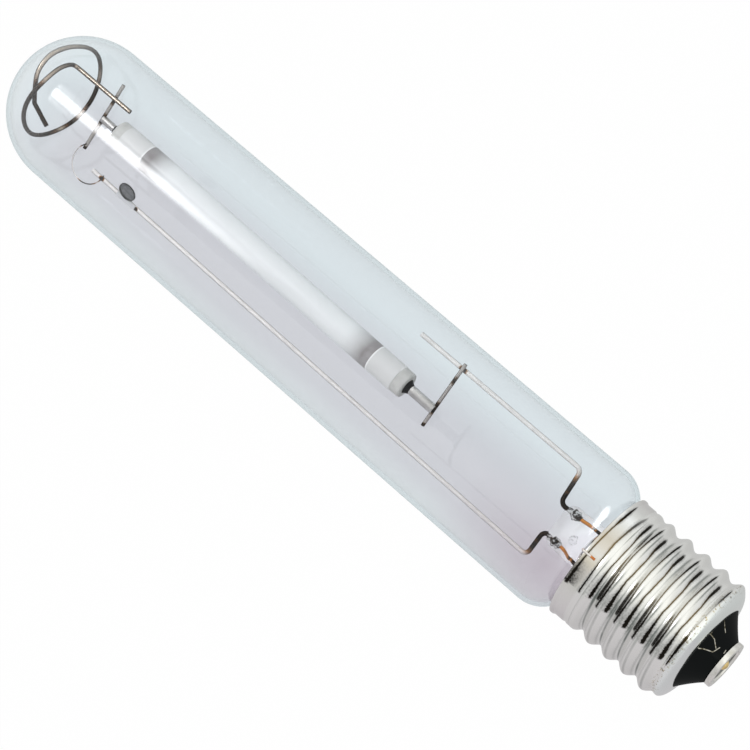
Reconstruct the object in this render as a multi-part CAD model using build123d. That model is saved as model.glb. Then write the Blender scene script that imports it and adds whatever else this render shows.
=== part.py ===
from build123d import *

import os
from math import acos, cos, degrees, radians, sin, sqrt, tan

# Tubular high pressure sodium lamp with a large screw cap, in millimetres.
# The origin is the centre of the contact plate's outer face. +Z runs along the lamp's axis out of
# the cap, so the lamp hangs below it, and every height below is a distance from that face.
# X lies in the plane of the two support wires: the long one on +X, the short one on -X.

# Glass envelope
overall_length = 272.0
bulb_diameter = 46.0
bulb_wall = 1.2
shoulder_radius = 10.0
shoulder_turn = 50.0            # degrees of the shoulder's curve, before the straight cone to the neck
neck_rim_gap = 1.73             # between the cone and the inside of the cap, at the rim
neck_below_rim = 22.0           # end of the neck inside the cap, from the rim

# Cap shell: rolled sheet with a round right-hand thread
cap_length = 46.0
thread_crest_diameter = 39.5
thread_depth = 1.8
thread_pitch = 6.35
crest_direction = 160.0         # side of the lamp where a crest stands at crest_height
crest_height = 16.7
thread_steps = 6                # sections of the shell in one pitch
thread_grown = 4.4              # the thread has its full depth this far from the end of the shell
thread_runout = 9.5             # it begins to run out this far below the rim
skirt_length = 6.0
skirt_inset = 0.15              # the skirt is this far inside the crests
rim_flare = 0.4                 # the rim stands this far out of the skirt
rim_flare_length = 1.2
shell_wall = 0.4
shell_hole_diameter = 27.0
shell_end_height = 7.3
shell_end_depth = 3.2           # axial depth of the rounded end
shell_end_steps = 3             # bands round that end

# Insulator, contact plate and cement
contact_diameter = 14.6
contact_thickness = 1.6
contact_recess_diameter = 9.2
contact_recess_depth = 0.7
contact_edge_chamfer = 0.3
insulator_seat_diameter = 14.0
insulator_waist = 0.3           # how far its cone is hollowed half way
insulator_in_thread = 2.0       # its inner face, past the rounded end of the shell
solder_diameter = 3.4
solder_height = 0.5
cement_gap = 1.05               # between the neck and the inside of the thread
cement_length = 17.2
cement_below_rim = 1.8

# Glass stem
stem_wall = 1.2
stem_tube_diameter = 14.0
flare_length = 8.8
press_above_rim = 14.6          # top of the press beyond the rim
press_length = 11.0
press_thickness = 7.0
press_top_chamfer = 2.0
press_taper_length = 6.0        # where the round tube turns flat
exhaust_diameter = 4.4
exhaust_bore = 2.8
exhaust_tip_length = 1.6
exhaust_tip_in_neck = 4.0       # from the end of the neck to the tip
exhaust_outlet_below_top = 7.6
exhaust_outlet_diameter = 2.4

# Wires through the press
lead_diameter = 1.4
lead_bend = 1.9                 # radius of the bends, on the wire's middle line
bend_steps = 3                  # short mitred runs in each bend
foot_spacing = 9.2              # between the two wires in the press
foot_depth = 5.0                # of each support wire in the press
seal_wire_diameter = 0.9
cap_wire_diameter = 0.7
cap_wire_clearance = 0.1        # between these wires and what they pass
cap_wire_below_press = 5.6      # where they join the wires in the press
shell_wire_neck_gap = 3.5       # it turns this far past the end of the neck
shell_wire_direction = -106.0   # side of the lamp where this wire crosses the rim
shell_wire_hairpin = 0.7
shell_wire_below_rim = 3.6

# Support wires
long_reach = 13.7               # of the long lead from the axis, at its bend
long_reach_at_dome = 11.7       # the same at its dome end
long_bend_above_press = 1.6
long_end_short_of_cross = 6.2
short_reach = 15.4
short_bend_above_press = 2.6
short_bend_rise = 1.0           # its side run climbs a little as it goes out
short_end_past_cross = 16.0

# Arc tube
tip_to_light_centre = 94.7      # from the dome's tip to the middle of the arc tube
arc_tube_length = 111.2
arc_tube_diameter = 8.4
arc_tube_bore = 7.0
arc_tube_offset = -1.95         # it hangs a little off the axis, towards the short lead
arc_tube_lean = 0.68            # degrees
plug_depth = 9.2
collar_length = 3.3
collar_diameter = 8.1
collar_chamfer = 0.6
seal_diameter = 4.8
seal_height = 1.5
cap_feedthrough_diameter = 3.0
cap_feedthrough_reach = 10.2    # from the collar to the cross wire
dome_feedthrough_diameter = 2.4
dome_feedthrough_reach = 6.6
feedthrough_wall = 0.3
feedthrough_end_wall = 1.5
electrode_rod_diameter = 1.1
electrode_reach = 9.0
electrode_coil_diameter = 2.4
electrode_coil_length = 5.0
electrode_tip_length = 1.2

# Cross wires, expansion wire and dome ring
cross_wire_diameter = 1.15
cap_cross_past_lead = 1.9
cap_cross_free_end = 4.6
dome_cross_short_side = 14.8
dome_cross_long_side = 8.2
expansion_wire_diameter = 0.36
expansion_radius = 6.0
expansion_inside_lead = 1.8     # centre of the curve, from the long lead towards the axis
expansion_below_cross = 5.5     # centre of the curve, from the cross wire towards the cap
expansion_start = 92.0
expansion_sweep = -227.0
expansion_steps = 12
ring_wire_diameter = 1.35
ring_dome_gap = 1.05
ring_offset = 0.75              # of its middle from the axis
ring_offset_direction = 160.0
ring_front = -110.0             # direction of its front
ring_leg_offset = 10.2          # of its straight leg from the axis
ring_leg_tail = 7.0             # past the cross wire
ring_leg_below_tip = 12.3       # bend at the end of the leg
ring_leg_bend = 1.5
ring_end_bend = 1.2
ring_tail = (408, 21.1, 1.4)    # degrees from its front, depth below the tip, distance inside the ring
ring_bends = (
    (-40, 13.1, 4.3), (-20, 13.4, 2.4), (0, 13.7, 0.8), (20, 13.3, 0), (40, 12.8, 0), (60, 13.0, 0),
    (80, 13.4, 0), (100, 13.6, 0), (120, 13.8, 0), (140, 14.2, 0), (160, 14.8, 0), (180, 15.0, 0),
    (200, 14.7, 0), (220, 14.0, 0), (240, 13.3, 0), (260, 12.6, 0), (280, 12.1, 0), (300, 11.5, 0),
    (320, 10.4, 0), (340, 9.75, 0), (360, 10.1, 0.9), (377, 11.9, 1.6), (394, 14.2, 1.6),
)

# Getter
getter_below_cross = 20.8       # from the dome-end cross wire towards the cap
getter_diameter = 6.0
getter_depth = 0.85
getter_wall = 0.2
getter_fill_below_rim = 0.15
getter_from_lead = 1.82         # from the lead's axis to the middle of the cup's back
getter_forward = 0.5            # of its middle in front of the lead
getter_tilt = 21.7              # of the open side towards the cap
getter_turn = 6.3               # of the open side towards the front
getter_tab_width = 1.5
getter_tab_thickness = 0.25
getter_tab_dome_side = 2.4      # length of the strip on each side of the cup's middle
getter_tab_cap_side = 5.0
getter_tab_ear = 2.4            # reach of the ear that is welded to the cup's back

# Values worked out from those above
bulb_radius = bulb_diameter / 2
dome_centre = overall_length - bulb_radius
thread_mean = (thread_crest_diameter - thread_depth) / 2
shell_bore = thread_crest_diameter / 2 - thread_depth - shell_wall
shell_hole = shell_hole_diameter / 2
skirt_radius = thread_crest_diameter / 2 - skirt_inset
skirt_bore = skirt_radius - shell_wall
rim_radius = skirt_radius + rim_flare
thread_start = shell_end_height + shell_end_depth
thread_full = shell_end_height + thread_grown
thread_end = cap_length - thread_runout
skirt_start = cap_length - skirt_length
flare_start = cap_length - rim_flare_length
neck_end = cap_length - neck_below_rim
insulator_top = thread_start + insulator_in_thread
neck_radius = shell_bore - cement_gap
cone_slope = tan(radians(shoulder_turn))
cone_edge = bulb_radius - shoulder_radius * (1 - cos(radians(shoulder_turn)))
cone_start = cap_length + (cone_edge - skirt_bore + neck_rim_gap) / cone_slope
shoulder_start = cone_start + shoulder_radius * sin(radians(shoulder_turn))
press_top = cap_length + press_above_rim
press_base = press_top - press_length
foot_height = press_top - foot_depth
foot_x = foot_spacing / 2
exhaust_tip_height = neck_end + exhaust_tip_in_neck
cap_wire_start = press_base - cap_wire_below_press
lead_radius = lead_diameter / 2
cross_radius = cross_wire_diameter / 2
cap_wire_radius = cap_wire_diameter / 2
light_centre = overall_length - tip_to_light_centre
arc_end = arc_tube_length / 2
arc_place = Pos(arc_tube_offset, 0, -light_centre) * Rot(0, arc_tube_lean, 0)
cap_cross = arc_end + collar_length + cap_feedthrough_reach
dome_cross = arc_end + collar_length + dome_feedthrough_reach
cap_cross_height = -(arc_place * Pos(0, 0, cap_cross)).position.Z
dome_cross_height = -(arc_place * Pos(0, 0, -dome_cross)).position.Z
long_bend_height = press_top + long_bend_above_press
long_end_height = dome_cross_height - long_end_short_of_cross
getter_height = dome_cross_height - getter_below_cross
short_y = lead_radius + cross_radius
ring_top = overall_length - min(below_tip for _, below_tip, _ in ring_bends)
ring_radius = (
    sqrt((bulb_radius - bulb_wall) ** 2 - (ring_top - dome_centre) ** 2)
    - ring_wire_diameter / 2
    - ring_dome_gap
)


def turned(*edges):
    """Solid of revolution about the lamp's axis, from edges drawn as radius and height."""
    return revolve(Plane.XZ * make_face(list(edges)), Axis.Z)


def runs(*points):
    """Straight edges from point to point."""
    return [Line(start, end) for start, end in zip(points, points[1:])]


def quarter_bands(centre, radius, depth):
    """Points on a quarter of an ellipse, from its side round to its top, as radius and height."""
    angles = [radians(90 * step / shell_end_steps) for step in range(shell_end_steps + 1)]
    return [(centre[0] + radius * cos(angle), centre[1] + depth * sin(angle)) for angle in angles]


def bent_wire(diameter, points, radii):
    """Round wire along straight runs. Each corner is mitred, or is a bend of short mitred runs."""
    corners = [Vector(*point) for point in points]
    middle = [corners[0]]
    for before, corner, after, radius in zip(corners, corners[1:], corners[2:], radii):
        along, away = (corner - before).normalized(), (after - corner).normalized()
        turn = radians(along.get_angle(away))
        if not radius:
            middle.append(corner)
            continue
        inward = (away - along * cos(turn)) / sin(turn)
        start = corner - along * (radius * tan(turn / 2))
        for step in range(bend_steps + 1):
            angle = turn * step / bend_steps
            middle.append(start + along * (radius * sin(angle)) + inward * (radius * (1 - cos(angle))))
    path = Polyline(*middle, corners[-1])
    section = Plane(path @ 0, z_dir=path % 0) * Circle(diameter / 2)
    return sweep(section, path, transition=Transition.RIGHT)


def straight_wire(diameter, start, end):
    """Round wire from one point to another."""
    path = Line(start, end)
    return sweep(Plane(path @ 0, z_dir=path % 0) * Circle(diameter / 2), path)


def around(radius, direction, height):
    """Point at a radius from the axis, in a direction in degrees, at a height."""
    return (radius * cos(radians(direction)), radius * sin(radians(direction)), -height)


def ease(value, start, end):
    """Smooth step from 0 at start to 1 at end."""
    share = min(max((value - start) / (end - start), 0), 1)
    return share * share * (3 - 2 * share)


def bulb_body(inset):
    """Solid inside the envelope's outline, moved inwards by inset."""
    radius = bulb_radius - inset
    neck = neck_radius - inset
    curve = shoulder_radius - inset
    turn = radians(shoulder_turn)
    curve_end = (radius - curve * (1 - cos(turn)), shoulder_start - curve * sin(turn))
    neck_start = curve_end[1] - (curve_end[0] - neck) / cone_slope
    open_end = neck_end - inset
    return turned(
        CenterArc((0, -dome_centre), radius, -90, 90),
        Line((radius, -dome_centre), (radius, -shoulder_start)),
        CenterArc((radius - curve, -shoulder_start), curve, 0, shoulder_turn),
        *runs(
            (curve_end[0], -curve_end[1]),
            (neck, -neck_start),
            (neck, -open_end),
            (0, -open_end),
            (0, -dome_centre - radius),
        ),
    )


def make_outer_bulb():
    """Clear glass envelope: dome, tube, shoulder and neck, open where the stem is sealed in."""
    return bulb_body(0) - bulb_body(bulb_wall)


def shell_circle(height, radius):
    """Section of the shell's outside: a circle that is off centre by half the thread's depth.

    The circle's centre winds once round the axis in each pitch, which makes a round thread.
    """
    growth = ease(height, shell_end_height, thread_full) * (1 - ease(height, thread_end, skirt_start))
    crest = crest_direction + 360 * (crest_height - height) / thread_pitch
    return Pos(*around(growth * thread_depth / 2, crest, height)) * Circle(radius)


def make_shell_outside():
    """Solid of the cap shell's outside: rounded end, screw thread, skirt and flared rim."""
    swell = skirt_radius - thread_mean
    end_bands = quarter_bands((shell_hole, -thread_start), thread_mean - shell_hole, shell_end_depth)
    sections = [shell_circle(-height, radius) for radius, height in reversed(end_bands)]
    steps = round(thread_steps * (skirt_start - thread_start) / thread_pitch)
    for step in range(1, steps + 1):
        height = thread_start + (skirt_start - thread_start) * step / steps
        sections.append(shell_circle(height, thread_mean + swell * ease(height, thread_end, skirt_start)))
    skirt = turned(
        *runs(
            (0, -skirt_start),
            (skirt_radius, -skirt_start),
            (skirt_radius, -flare_start),
            (rim_radius, -cap_length),
            (0, -cap_length),
            (0, -skirt_start),
        )
    )
    return loft(sections, ruled=True) + skirt


def shell_end_bands():
    """Points down the inside of the shell's rounded end, from the bore to the insulator's hole."""
    depth = shell_end_depth - shell_wall
    return quarter_bands((shell_hole, -thread_start), shell_bore - shell_hole, depth)


def make_shell_inside():
    """Solid of the space inside the cap shell, open at both ends."""
    rim_bore = rim_radius - shell_wall
    through = shell_end_height - shell_wall
    return turned(
        *runs(
            (0, -through),
            (shell_hole, -through),
            *reversed(shell_end_bands()),
            (shell_bore, -thread_end),
            (skirt_bore, -skirt_start),
            (skirt_bore, -flare_start),
            (rim_bore, -cap_length),
            (0, -cap_length),
            (0, -through),
        )
    )


def make_cap_insulator():
    """Black glass cone that fills the end of the shell and carries the contact plate."""
    hole = cap_wire_radius + cap_wire_clearance
    seat = insulator_seat_diameter / 2
    waist = ((seat + shell_hole) / 2 - insulator_waist, -(contact_thickness + shell_end_height) / 2)
    return turned(
        *runs(
            (hole, -contact_thickness),
            (seat, -contact_thickness),
            waist,
            (shell_hole, -shell_end_height),
            *reversed(shell_end_bands()),
            (shell_bore, -insulator_top),
            (hole, -insulator_top),
            (hole, -contact_thickness),
        )
    )


def make_centre_contact():
    """Contact plate with a dished middle and a hole for its wire."""
    edge = contact_diameter / 2
    recess = contact_recess_diameter / 2
    return turned(
        *runs(
            (cap_wire_radius, -contact_thickness),
            (edge, -contact_thickness),
            (edge, -contact_edge_chamfer),
            (edge - contact_edge_chamfer, 0),
            (recess, 0),
            (recess, -contact_recess_depth),
            (cap_wire_radius, -contact_recess_depth),
            (cap_wire_radius, -contact_thickness),
        )
    )


def make_contact_solder():
    """Flat drop of solder over the wire's end, lower than the rim of the plate."""
    radius = solder_diameter / 2
    floor = -contact_recess_depth
    curve = (radius**2 + solder_height**2) / (2 * solder_height)
    start = degrees(acos(radius / curve))
    return turned(
        Line((0, floor), (radius, floor)),
        CenterArc((0, floor + solder_height - curve), curve, start, 90 - start),
        Line((0, floor + solder_height), (0, floor)),
    )


def make_press():
    """Flat press: the end of the stem's tube, pinched from two sides, with a sloped top."""
    tube = stem_tube_diameter / 2
    flat = press_thickness / 2
    taper_end = press_base + press_taper_length
    slope = press_top - press_top_chamfer
    front = [(tube, press_base), (tube, slope), (tube - press_top_chamfer, press_top)]
    side = [(tube, press_base), (flat, taper_end), (flat, slope), (flat - press_top_chamfer, press_top)]
    solid = Pos(0, 0, -(press_base + press_top) / 2) * Cylinder(tube, press_length)
    for plane, outline in ((Plane.XZ, front), (Plane.YZ, side)):
        points = [(across, -height) for across, height in outline]
        points += [(-across, -height) for across, height in reversed(outline)]
        solid &= extrude(plane * make_face(Polyline(*points, close=True)), tube, both=True)
    return solid


def make_stem():
    """Glass stem: flare sealed to the neck, tube, flat press and exhaust tube, in one piece."""
    tube = stem_tube_diameter / 2
    flare_edge = neck_radius - bulb_wall
    flare_top = neck_end + flare_length
    rim = neck_end - stem_wall
    trumpet = turned(
        *runs(
            (neck_radius, -neck_end),
            (neck_radius, -rim),
            (flare_edge, -rim),
            (tube - stem_wall, -flare_top),
            (tube - stem_wall, -press_base),
            (tube, -press_base),
            (tube, -flare_top),
            (flare_edge, -neck_end),
            (neck_radius, -neck_end),
        )
    )
    outlet_height = press_top - exhaust_outlet_below_top
    outer = exhaust_diameter / 2
    bore = exhaust_bore / 2
    exhaust = turned(
        *runs(
            (0, -exhaust_tip_height),
            (outer - bore, -exhaust_tip_height),
            (outer, -exhaust_tip_height - exhaust_tip_length),
            (outer, -outlet_height),
            (0, -outlet_height),
            (0, -exhaust_tip_height),
        )
    )
    channel = turned(
        *runs(
            (0, -exhaust_tip_height - exhaust_tip_length),
            (bore, -exhaust_tip_height - exhaust_tip_length),
            (bore, -outlet_height),
            (0, -outlet_height),
            (0, -exhaust_tip_height - exhaust_tip_length),
        )
    )
    outlet = Pos(0, 0, -outlet_height) * Rot(90, 0, 0) * Cylinder(
        exhaust_outlet_diameter / 2, press_thickness, align=(Align.CENTER, Align.CENTER, Align.MIN)
    )
    return trumpet + make_press() + exhaust - channel - outlet


def make_long_lead():
    """Support wire from the press, out to the side and up beside the arc tube."""
    points = [
        (foot_x, 0, -foot_height),
        (foot_x, 0, -long_bend_height),
        (long_reach, 0, -long_bend_height),
        (long_reach_at_dome, 0, -long_end_height),
    ]
    return bent_wire(lead_diameter, points, (lead_bend, lead_bend))


def make_short_lead():
    """Support wire from the press to the cap end of the arc tube, behind its cross wire."""
    bend_height = press_top + short_bend_above_press
    points = [
        (-foot_x, 0, -foot_height),
        (-foot_x, 0, -bend_height),
        (-short_reach, short_y, -bend_height - short_bend_rise),
        (-short_reach, short_y, -cap_cross_height - short_end_past_cross),
    ]
    return bent_wire(lead_diameter, points, (lead_bend, lead_bend))


def make_seal_wire(side):
    """Copper-coated wire that seals to the glass of the press."""
    return straight_wire(
        seal_wire_diameter, (side * foot_x, 0, -cap_wire_start), (side * foot_x, 0, -foot_height)
    )


def make_contact_lead_wire():
    """Wire from the press to the middle of the contact plate."""
    points = [
        (-foot_x, 0, -cap_wire_start),
        (-foot_x, 0, -exhaust_tip_height),
        (0, 0, -insulator_top - foot_x),
        (0, 0, -contact_recess_depth),
    ]
    return bent_wire(cap_wire_diameter, points, (0, 0))


def make_shell_lead_wire():
    """Wire from the press round the end of the neck and up between neck and shell.

    It bends over the rim and lies on the outside of the skirt.
    """
    beside_neck = (neck_radius + shell_bore) / 2
    in_rim = skirt_bore - cap_wire_radius - cap_wire_clearance
    over_rim = cap_length + shell_wire_hairpin
    at_rim = rim_radius + cap_wire_radius + cap_wire_clearance
    on_skirt = skirt_radius + cap_wire_radius
    turn_height = neck_end - shell_wire_neck_gap
    route = [
        (beside_neck, turn_height),
        (beside_neck, thread_end),
        (in_rim, skirt_start),
        (in_rim, over_rim),
        (at_rim, over_rim),
        (on_skirt, cap_length - shell_wire_below_rim),
    ]
    points = [(foot_x, 0, -cap_wire_start), (foot_x, 0, -turn_height)]
    points += [around(radius, shell_wire_direction, height) for radius, height in route]
    radii = (0, 0, 0, 0, shell_wire_hairpin, shell_wire_hairpin)
    return bent_wire(cap_wire_diameter, points, radii)


def make_arc_tube():
    """Translucent alumina tube."""
    tube = Cylinder(arc_tube_diameter / 2, arc_tube_length)
    return arc_place * (tube - Cylinder(arc_tube_bore / 2, arc_tube_length))


def make_arc_end(feedthrough_diameter, reach, cross_wire, place):
    """Plug, feedthrough, seal and electrode at one end of the arc tube, by name.

    They are drawn at the end that points to +Z, and place turns them to their own end.
    """
    radius = feedthrough_diameter / 2
    rod = electrode_rod_diameter / 2
    inner = arc_end - plug_depth
    collar = arc_end + collar_length
    plug = turned(
        Line((radius, inner), (arc_tube_bore / 2, inner)),
        Line((arc_tube_bore / 2, inner), (arc_tube_bore / 2, arc_end)),
        Line((arc_tube_bore / 2, arc_end), (collar_diameter / 2, arc_end)),
        Line((collar_diameter / 2, arc_end), (collar_diameter / 2, collar - collar_chamfer)),
        Line((collar_diameter / 2, collar - collar_chamfer), (collar_diameter / 2 - collar_chamfer, collar)),
        Line((collar_diameter / 2 - collar_chamfer, collar), (radius, collar)),
        Line((radius, collar), (radius, inner)),
    )
    seal = turned(
        Line((radius, collar), (seal_diameter / 2, collar)),
        Line((seal_diameter / 2, collar), (radius, collar + seal_height)),
        Line((radius, collar + seal_height), (radius, collar)),
    )
    wall = radius - feedthrough_wall
    end_wall = inner + feedthrough_end_wall
    tube = turned(
        Line((rod, inner), (radius, inner)),
        Line((radius, inner), (radius, collar + reach)),
        Line((radius, collar + reach), (wall, collar + reach)),
        Line((wall, collar + reach), (wall, end_wall)),
        Line((wall, end_wall), (rod, end_wall)),
        Line((rod, end_wall), (rod, inner)),
    )
    tip = inner - electrode_reach
    coil_top = tip + electrode_tip_length + electrode_coil_length
    coil = electrode_coil_diameter / 2
    electrode = turned(
        Line((0, end_wall), (rod, end_wall)),
        Line((rod, end_wall), (rod, coil_top)),
        Line((rod, coil_top), (coil, coil_top)),
        Line((coil, coil_top), (coil, tip + electrode_tip_length)),
        Line((coil, tip + electrode_tip_length), (rod, tip + electrode_tip_length)),
        Line((rod, tip + electrode_tip_length), (rod, tip)),
        Line((rod, tip), (0, tip)),
        Line((0, tip), (0, end_wall)),
    )
    return {
        "plug": place * plug,
        "feedthrough": place * tube - cross_wire,
        "seal": place * seal,
        "electrode": place * electrode,
    }


def make_cap_end_cross_wire():
    """Wire across the end of the cap-end feedthrough, in front of the short lead."""
    return straight_wire(
        cross_wire_diameter,
        (-short_reach - cap_cross_past_lead, 0, -cap_cross_height),
        (cap_cross_free_end, 0, -cap_cross_height),
    )


def make_dome_end_cross_wire():
    """Wire across the end of the dome-end feedthrough."""
    return straight_wire(
        cross_wire_diameter,
        (-dome_cross_short_side, 0, -dome_cross_height),
        (dome_cross_long_side, 0, -dome_cross_height),
    )


def make_expansion_wire():
    """Thin curved wire in front of the long lead and the dome-end cross wire."""
    centre_x = long_reach_at_dome - expansion_inside_lead
    centre_height = dome_cross_height - expansion_below_cross
    front = -(lead_radius + expansion_wire_diameter / 2)
    points = []
    for step in range(expansion_steps + 1):
        angle = radians(expansion_start + expansion_sweep * step / expansion_steps)
        across, up = expansion_radius * cos(angle), expansion_radius * sin(angle)
        points.append((centre_x + across, front, up - centre_height))
    return bent_wire(expansion_wire_diameter, points, [0] * (len(points) - 2))


def ring_point(angle, below_tip, inset):
    """Point on the dome ring's middle line, angle degrees on from its front."""
    middle = around(ring_offset, ring_offset_direction, overall_length - below_tip)
    point = around(ring_radius - inset, ring_front + angle, 0)
    return (middle[0] + point[0], middle[1] + point[1], middle[2])


def make_dome_ring():
    """Springy wire in the dome: a straight leg on the cross wire, one turn and a short tail."""
    leg_y = -(cross_radius + ring_wire_diameter / 2)
    turn = [ring_point(*bend) for bend in ring_bends]
    points = [
        (-ring_leg_offset, leg_y, ring_leg_tail - dome_cross_height),
        (-ring_leg_offset, leg_y, ring_leg_below_tip - overall_length),
        *turn,
        ring_point(*ring_tail),
    ]
    radii = [ring_leg_bend] + [0] * (len(turn) - 1) + [ring_end_bend]
    return bent_wire(ring_wire_diameter, points, radii)


def make_getter():
    """Getter cup, its filling and the strip that holds it on the front of the long lead."""
    run = (getter_height - long_bend_height) / (long_end_height - long_bend_height)
    lead_x = long_reach + (long_reach_at_dome - long_reach) * run
    lean = degrees((long_reach - long_reach_at_dome) / (long_end_height - long_bend_height))
    place = Pos(lead_x, 0, -getter_height) * Rot(0, lean, 0)
    turn = Pos(-getter_from_lead, -getter_forward, 0) * Rot(0, 0, getter_turn) * Rot(0, getter_tilt - 90, 0)
    outer = getter_diameter / 2
    from_floor = (Align.CENTER, Align.CENTER, Align.MIN)
    hollow = getter_depth - getter_wall
    cup = Cylinder(outer, getter_depth, align=from_floor)
    cup -= Pos(0, 0, getter_wall) * Cylinder(outer - getter_wall, hollow, align=from_floor)
    filling = Pos(0, 0, getter_wall) * Cylinder(
        outer - getter_wall, hollow - getter_fill_below_rim, align=from_floor
    )
    half = getter_tab_width / 2
    sheet = [
        (half, -getter_tab_dome_side),
        (half, getter_tab_cap_side),
        (-half, getter_tab_cap_side),
        (-half, outer),
        (-getter_tab_ear, outer),
        (-getter_tab_ear, -outer / 2),
        (-half, -getter_tab_dome_side),
    ]
    tab = extrude(make_face(Polyline(*sheet, close=True)), getter_tab_thickness)
    tab = Plane.XZ.offset(lead_radius) * tab
    tab -= turn * Box(outer * 4, outer * 4, outer * 4, align=from_floor)
    return {"cup": place * turn * cup, "fill": place * turn * filling, "tab": place * tab}


def make_parts():
    """Every piece of the lamp, by name."""
    long_lead = make_long_lead()
    short_lead = make_short_lead()
    long_seal_wire = make_seal_wire(1)
    short_seal_wire = make_seal_wire(-1)
    shell_lead_wire = make_shell_lead_wire()
    cap_cross_wire = make_cap_end_cross_wire()
    dome_cross_wire = make_dome_end_cross_wire()
    inside = make_shell_inside()
    cement_middle = cap_length - cement_below_rim - cement_length / 2
    cement = Pos(0, 0, -cement_middle) * Cylinder(rim_radius, cement_length)
    parts = {
        "outer_bulb": make_outer_bulb(),
        "stem": make_stem() - long_lead - short_lead - long_seal_wire - short_seal_wire,
        "long_lead": long_lead,
        "short_lead": short_lead,
        "long_seal_wire": long_seal_wire,
        "short_seal_wire": short_seal_wire,
        "contact_lead_wire": make_contact_lead_wire(),
        "shell_lead_wire": shell_lead_wire,
        "arc_tube": make_arc_tube(),
        "cap_end_cross_wire": cap_cross_wire,
        "dome_end_cross_wire": dome_cross_wire,
        "expansion_wire": make_expansion_wire(),
        "dome_ring": make_dome_ring(),
        "cap_shell": make_shell_outside() - inside,
        "cap_insulator": make_cap_insulator(),
        "centre_contact": make_centre_contact(),
        "contact_solder": make_contact_solder(),
        "cap_cement": (inside & cement) - bulb_body(0) - shell_lead_wire,
    }
    cap_end = make_arc_end(cap_feedthrough_diameter, cap_feedthrough_reach, cap_cross_wire, arc_place)
    dome_end = make_arc_end(
        dome_feedthrough_diameter, dome_feedthrough_reach, dome_cross_wire, arc_place * Rot(180, 0, 0)
    )
    parts |= {f"cap_end_{name}": piece for name, piece in cap_end.items()}
    parts |= {f"dome_end_{name}": piece for name, piece in dome_end.items()}
    parts |= {f"getter_{name}": piece for name, piece in make_getter().items()}
    return parts


os.makedirs("parts", exist_ok=True)
for node, piece in make_parts().items():
    export_step(piece, f"parts/{node}.step")
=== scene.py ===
"""Looks of a clear tubular high pressure sodium lamp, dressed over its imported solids.

Sizes are in millimetres and angles in degrees, except where a comment or docstring says metres.
"""

import logging
from dataclasses import dataclass, field
from enum import Enum
from functools import cache, reduce, wraps
from math import atan2, cos, pi, radians, sin, sqrt, tan
from typing import Callable, Optional, Sequence

import bpy
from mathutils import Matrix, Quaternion, Vector


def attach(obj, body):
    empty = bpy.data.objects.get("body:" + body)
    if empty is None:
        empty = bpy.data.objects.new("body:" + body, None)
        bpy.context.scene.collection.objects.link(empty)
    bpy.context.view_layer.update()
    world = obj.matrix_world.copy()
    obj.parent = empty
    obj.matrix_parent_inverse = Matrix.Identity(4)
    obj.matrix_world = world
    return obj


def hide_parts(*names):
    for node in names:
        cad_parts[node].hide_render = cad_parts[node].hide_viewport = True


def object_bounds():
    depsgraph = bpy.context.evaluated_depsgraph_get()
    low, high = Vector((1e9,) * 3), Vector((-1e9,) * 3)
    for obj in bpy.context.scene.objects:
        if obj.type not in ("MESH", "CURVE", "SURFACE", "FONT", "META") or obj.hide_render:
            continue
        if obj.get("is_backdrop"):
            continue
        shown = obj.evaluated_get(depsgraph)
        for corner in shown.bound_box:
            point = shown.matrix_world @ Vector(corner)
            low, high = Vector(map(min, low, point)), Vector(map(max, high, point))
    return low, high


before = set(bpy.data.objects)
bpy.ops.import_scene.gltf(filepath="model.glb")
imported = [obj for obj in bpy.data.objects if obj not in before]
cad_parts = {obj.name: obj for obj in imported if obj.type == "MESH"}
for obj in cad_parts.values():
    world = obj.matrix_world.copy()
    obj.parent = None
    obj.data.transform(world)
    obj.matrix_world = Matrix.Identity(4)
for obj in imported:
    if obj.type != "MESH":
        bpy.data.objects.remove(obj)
SOLID_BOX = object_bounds()

LOG = logging.getLogger("lamp")
Point = tuple[float, float, float]
Colour = tuple[float, float, float]
Stops = tuple[tuple[float, float], ...]
Tones = tuple[tuple[float, Colour], ...]

MM = 0.001
POLE = 0.004
COARSE_MERGE = 2e-5
FINE_MERGE = 1e-7
BEND_STEPS = 10
WIRE_ROUNDNESS = 6
KNOT_GRAIN = 0.7
BODY = "root"
ORIGIN = (0.0, 0.0, 0.0)
WHITE = (1.0, 1.0, 1.0)
SMOOTH = {"interpolation_type": "SMOOTHSTEP"}
MADE: dict[str, bpy.types.Material] = {}

# The surroundings that the lamp mirrors. Bare metal mirrors ROOM_TONE, from the back over the right and
# the front to the left. Glass mirrors the plain colours and one window.
ROOM_FRONT = -110.0
ROOM_TONE = (
    (0.000, (0.560, 0.560, 0.552)),
    (0.100, (0.640, 0.640, 0.630)),
    (0.144, (0.713, 0.713, 0.702)),
    (0.189, (0.745, 0.750, 0.740)),
    (0.233, (0.810, 0.815, 0.805)),
    (0.278, (0.930, 0.935, 0.920)),
    (0.322, (0.970, 0.970, 0.926)),
    (0.367, (1.060, 1.060, 1.012)),
    (0.411, (1.200, 1.200, 1.146)),
    (0.456, (1.200, 1.200, 1.146)),
    (0.500, (1.130, 1.130, 1.079)),
    (0.544, (0.980, 0.980, 0.936)),
    (0.589, (0.740, 0.740, 0.729)),
    (0.633, (0.640, 0.640, 0.630)),
    (0.678, (0.680, 0.680, 0.670)),
    (0.722, (0.705, 0.684, 0.694)),
    (0.767, (0.700, 0.679, 0.690)),
    (0.811, (0.680, 0.660, 0.670)),
    (0.856, (0.650, 0.630, 0.640)),
    (0.900, (0.606, 0.588, 0.597)),
    (1.000, (0.560, 0.543, 0.552)),
)
ROOM_PLAIN = (0.92, 0.94, 0.94)
ROOM_BEHIND = (0.73, 0.79, 0.81)
ROOM_BEHIND_RISE = -16.6
ROOM_BEHIND_REACH = (0.35, 0.85)
ROOM_AHEAD = (0.22, 0.23, 0.23)
ROOM_AHEAD_REACH = (-0.2, -0.75)
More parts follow.
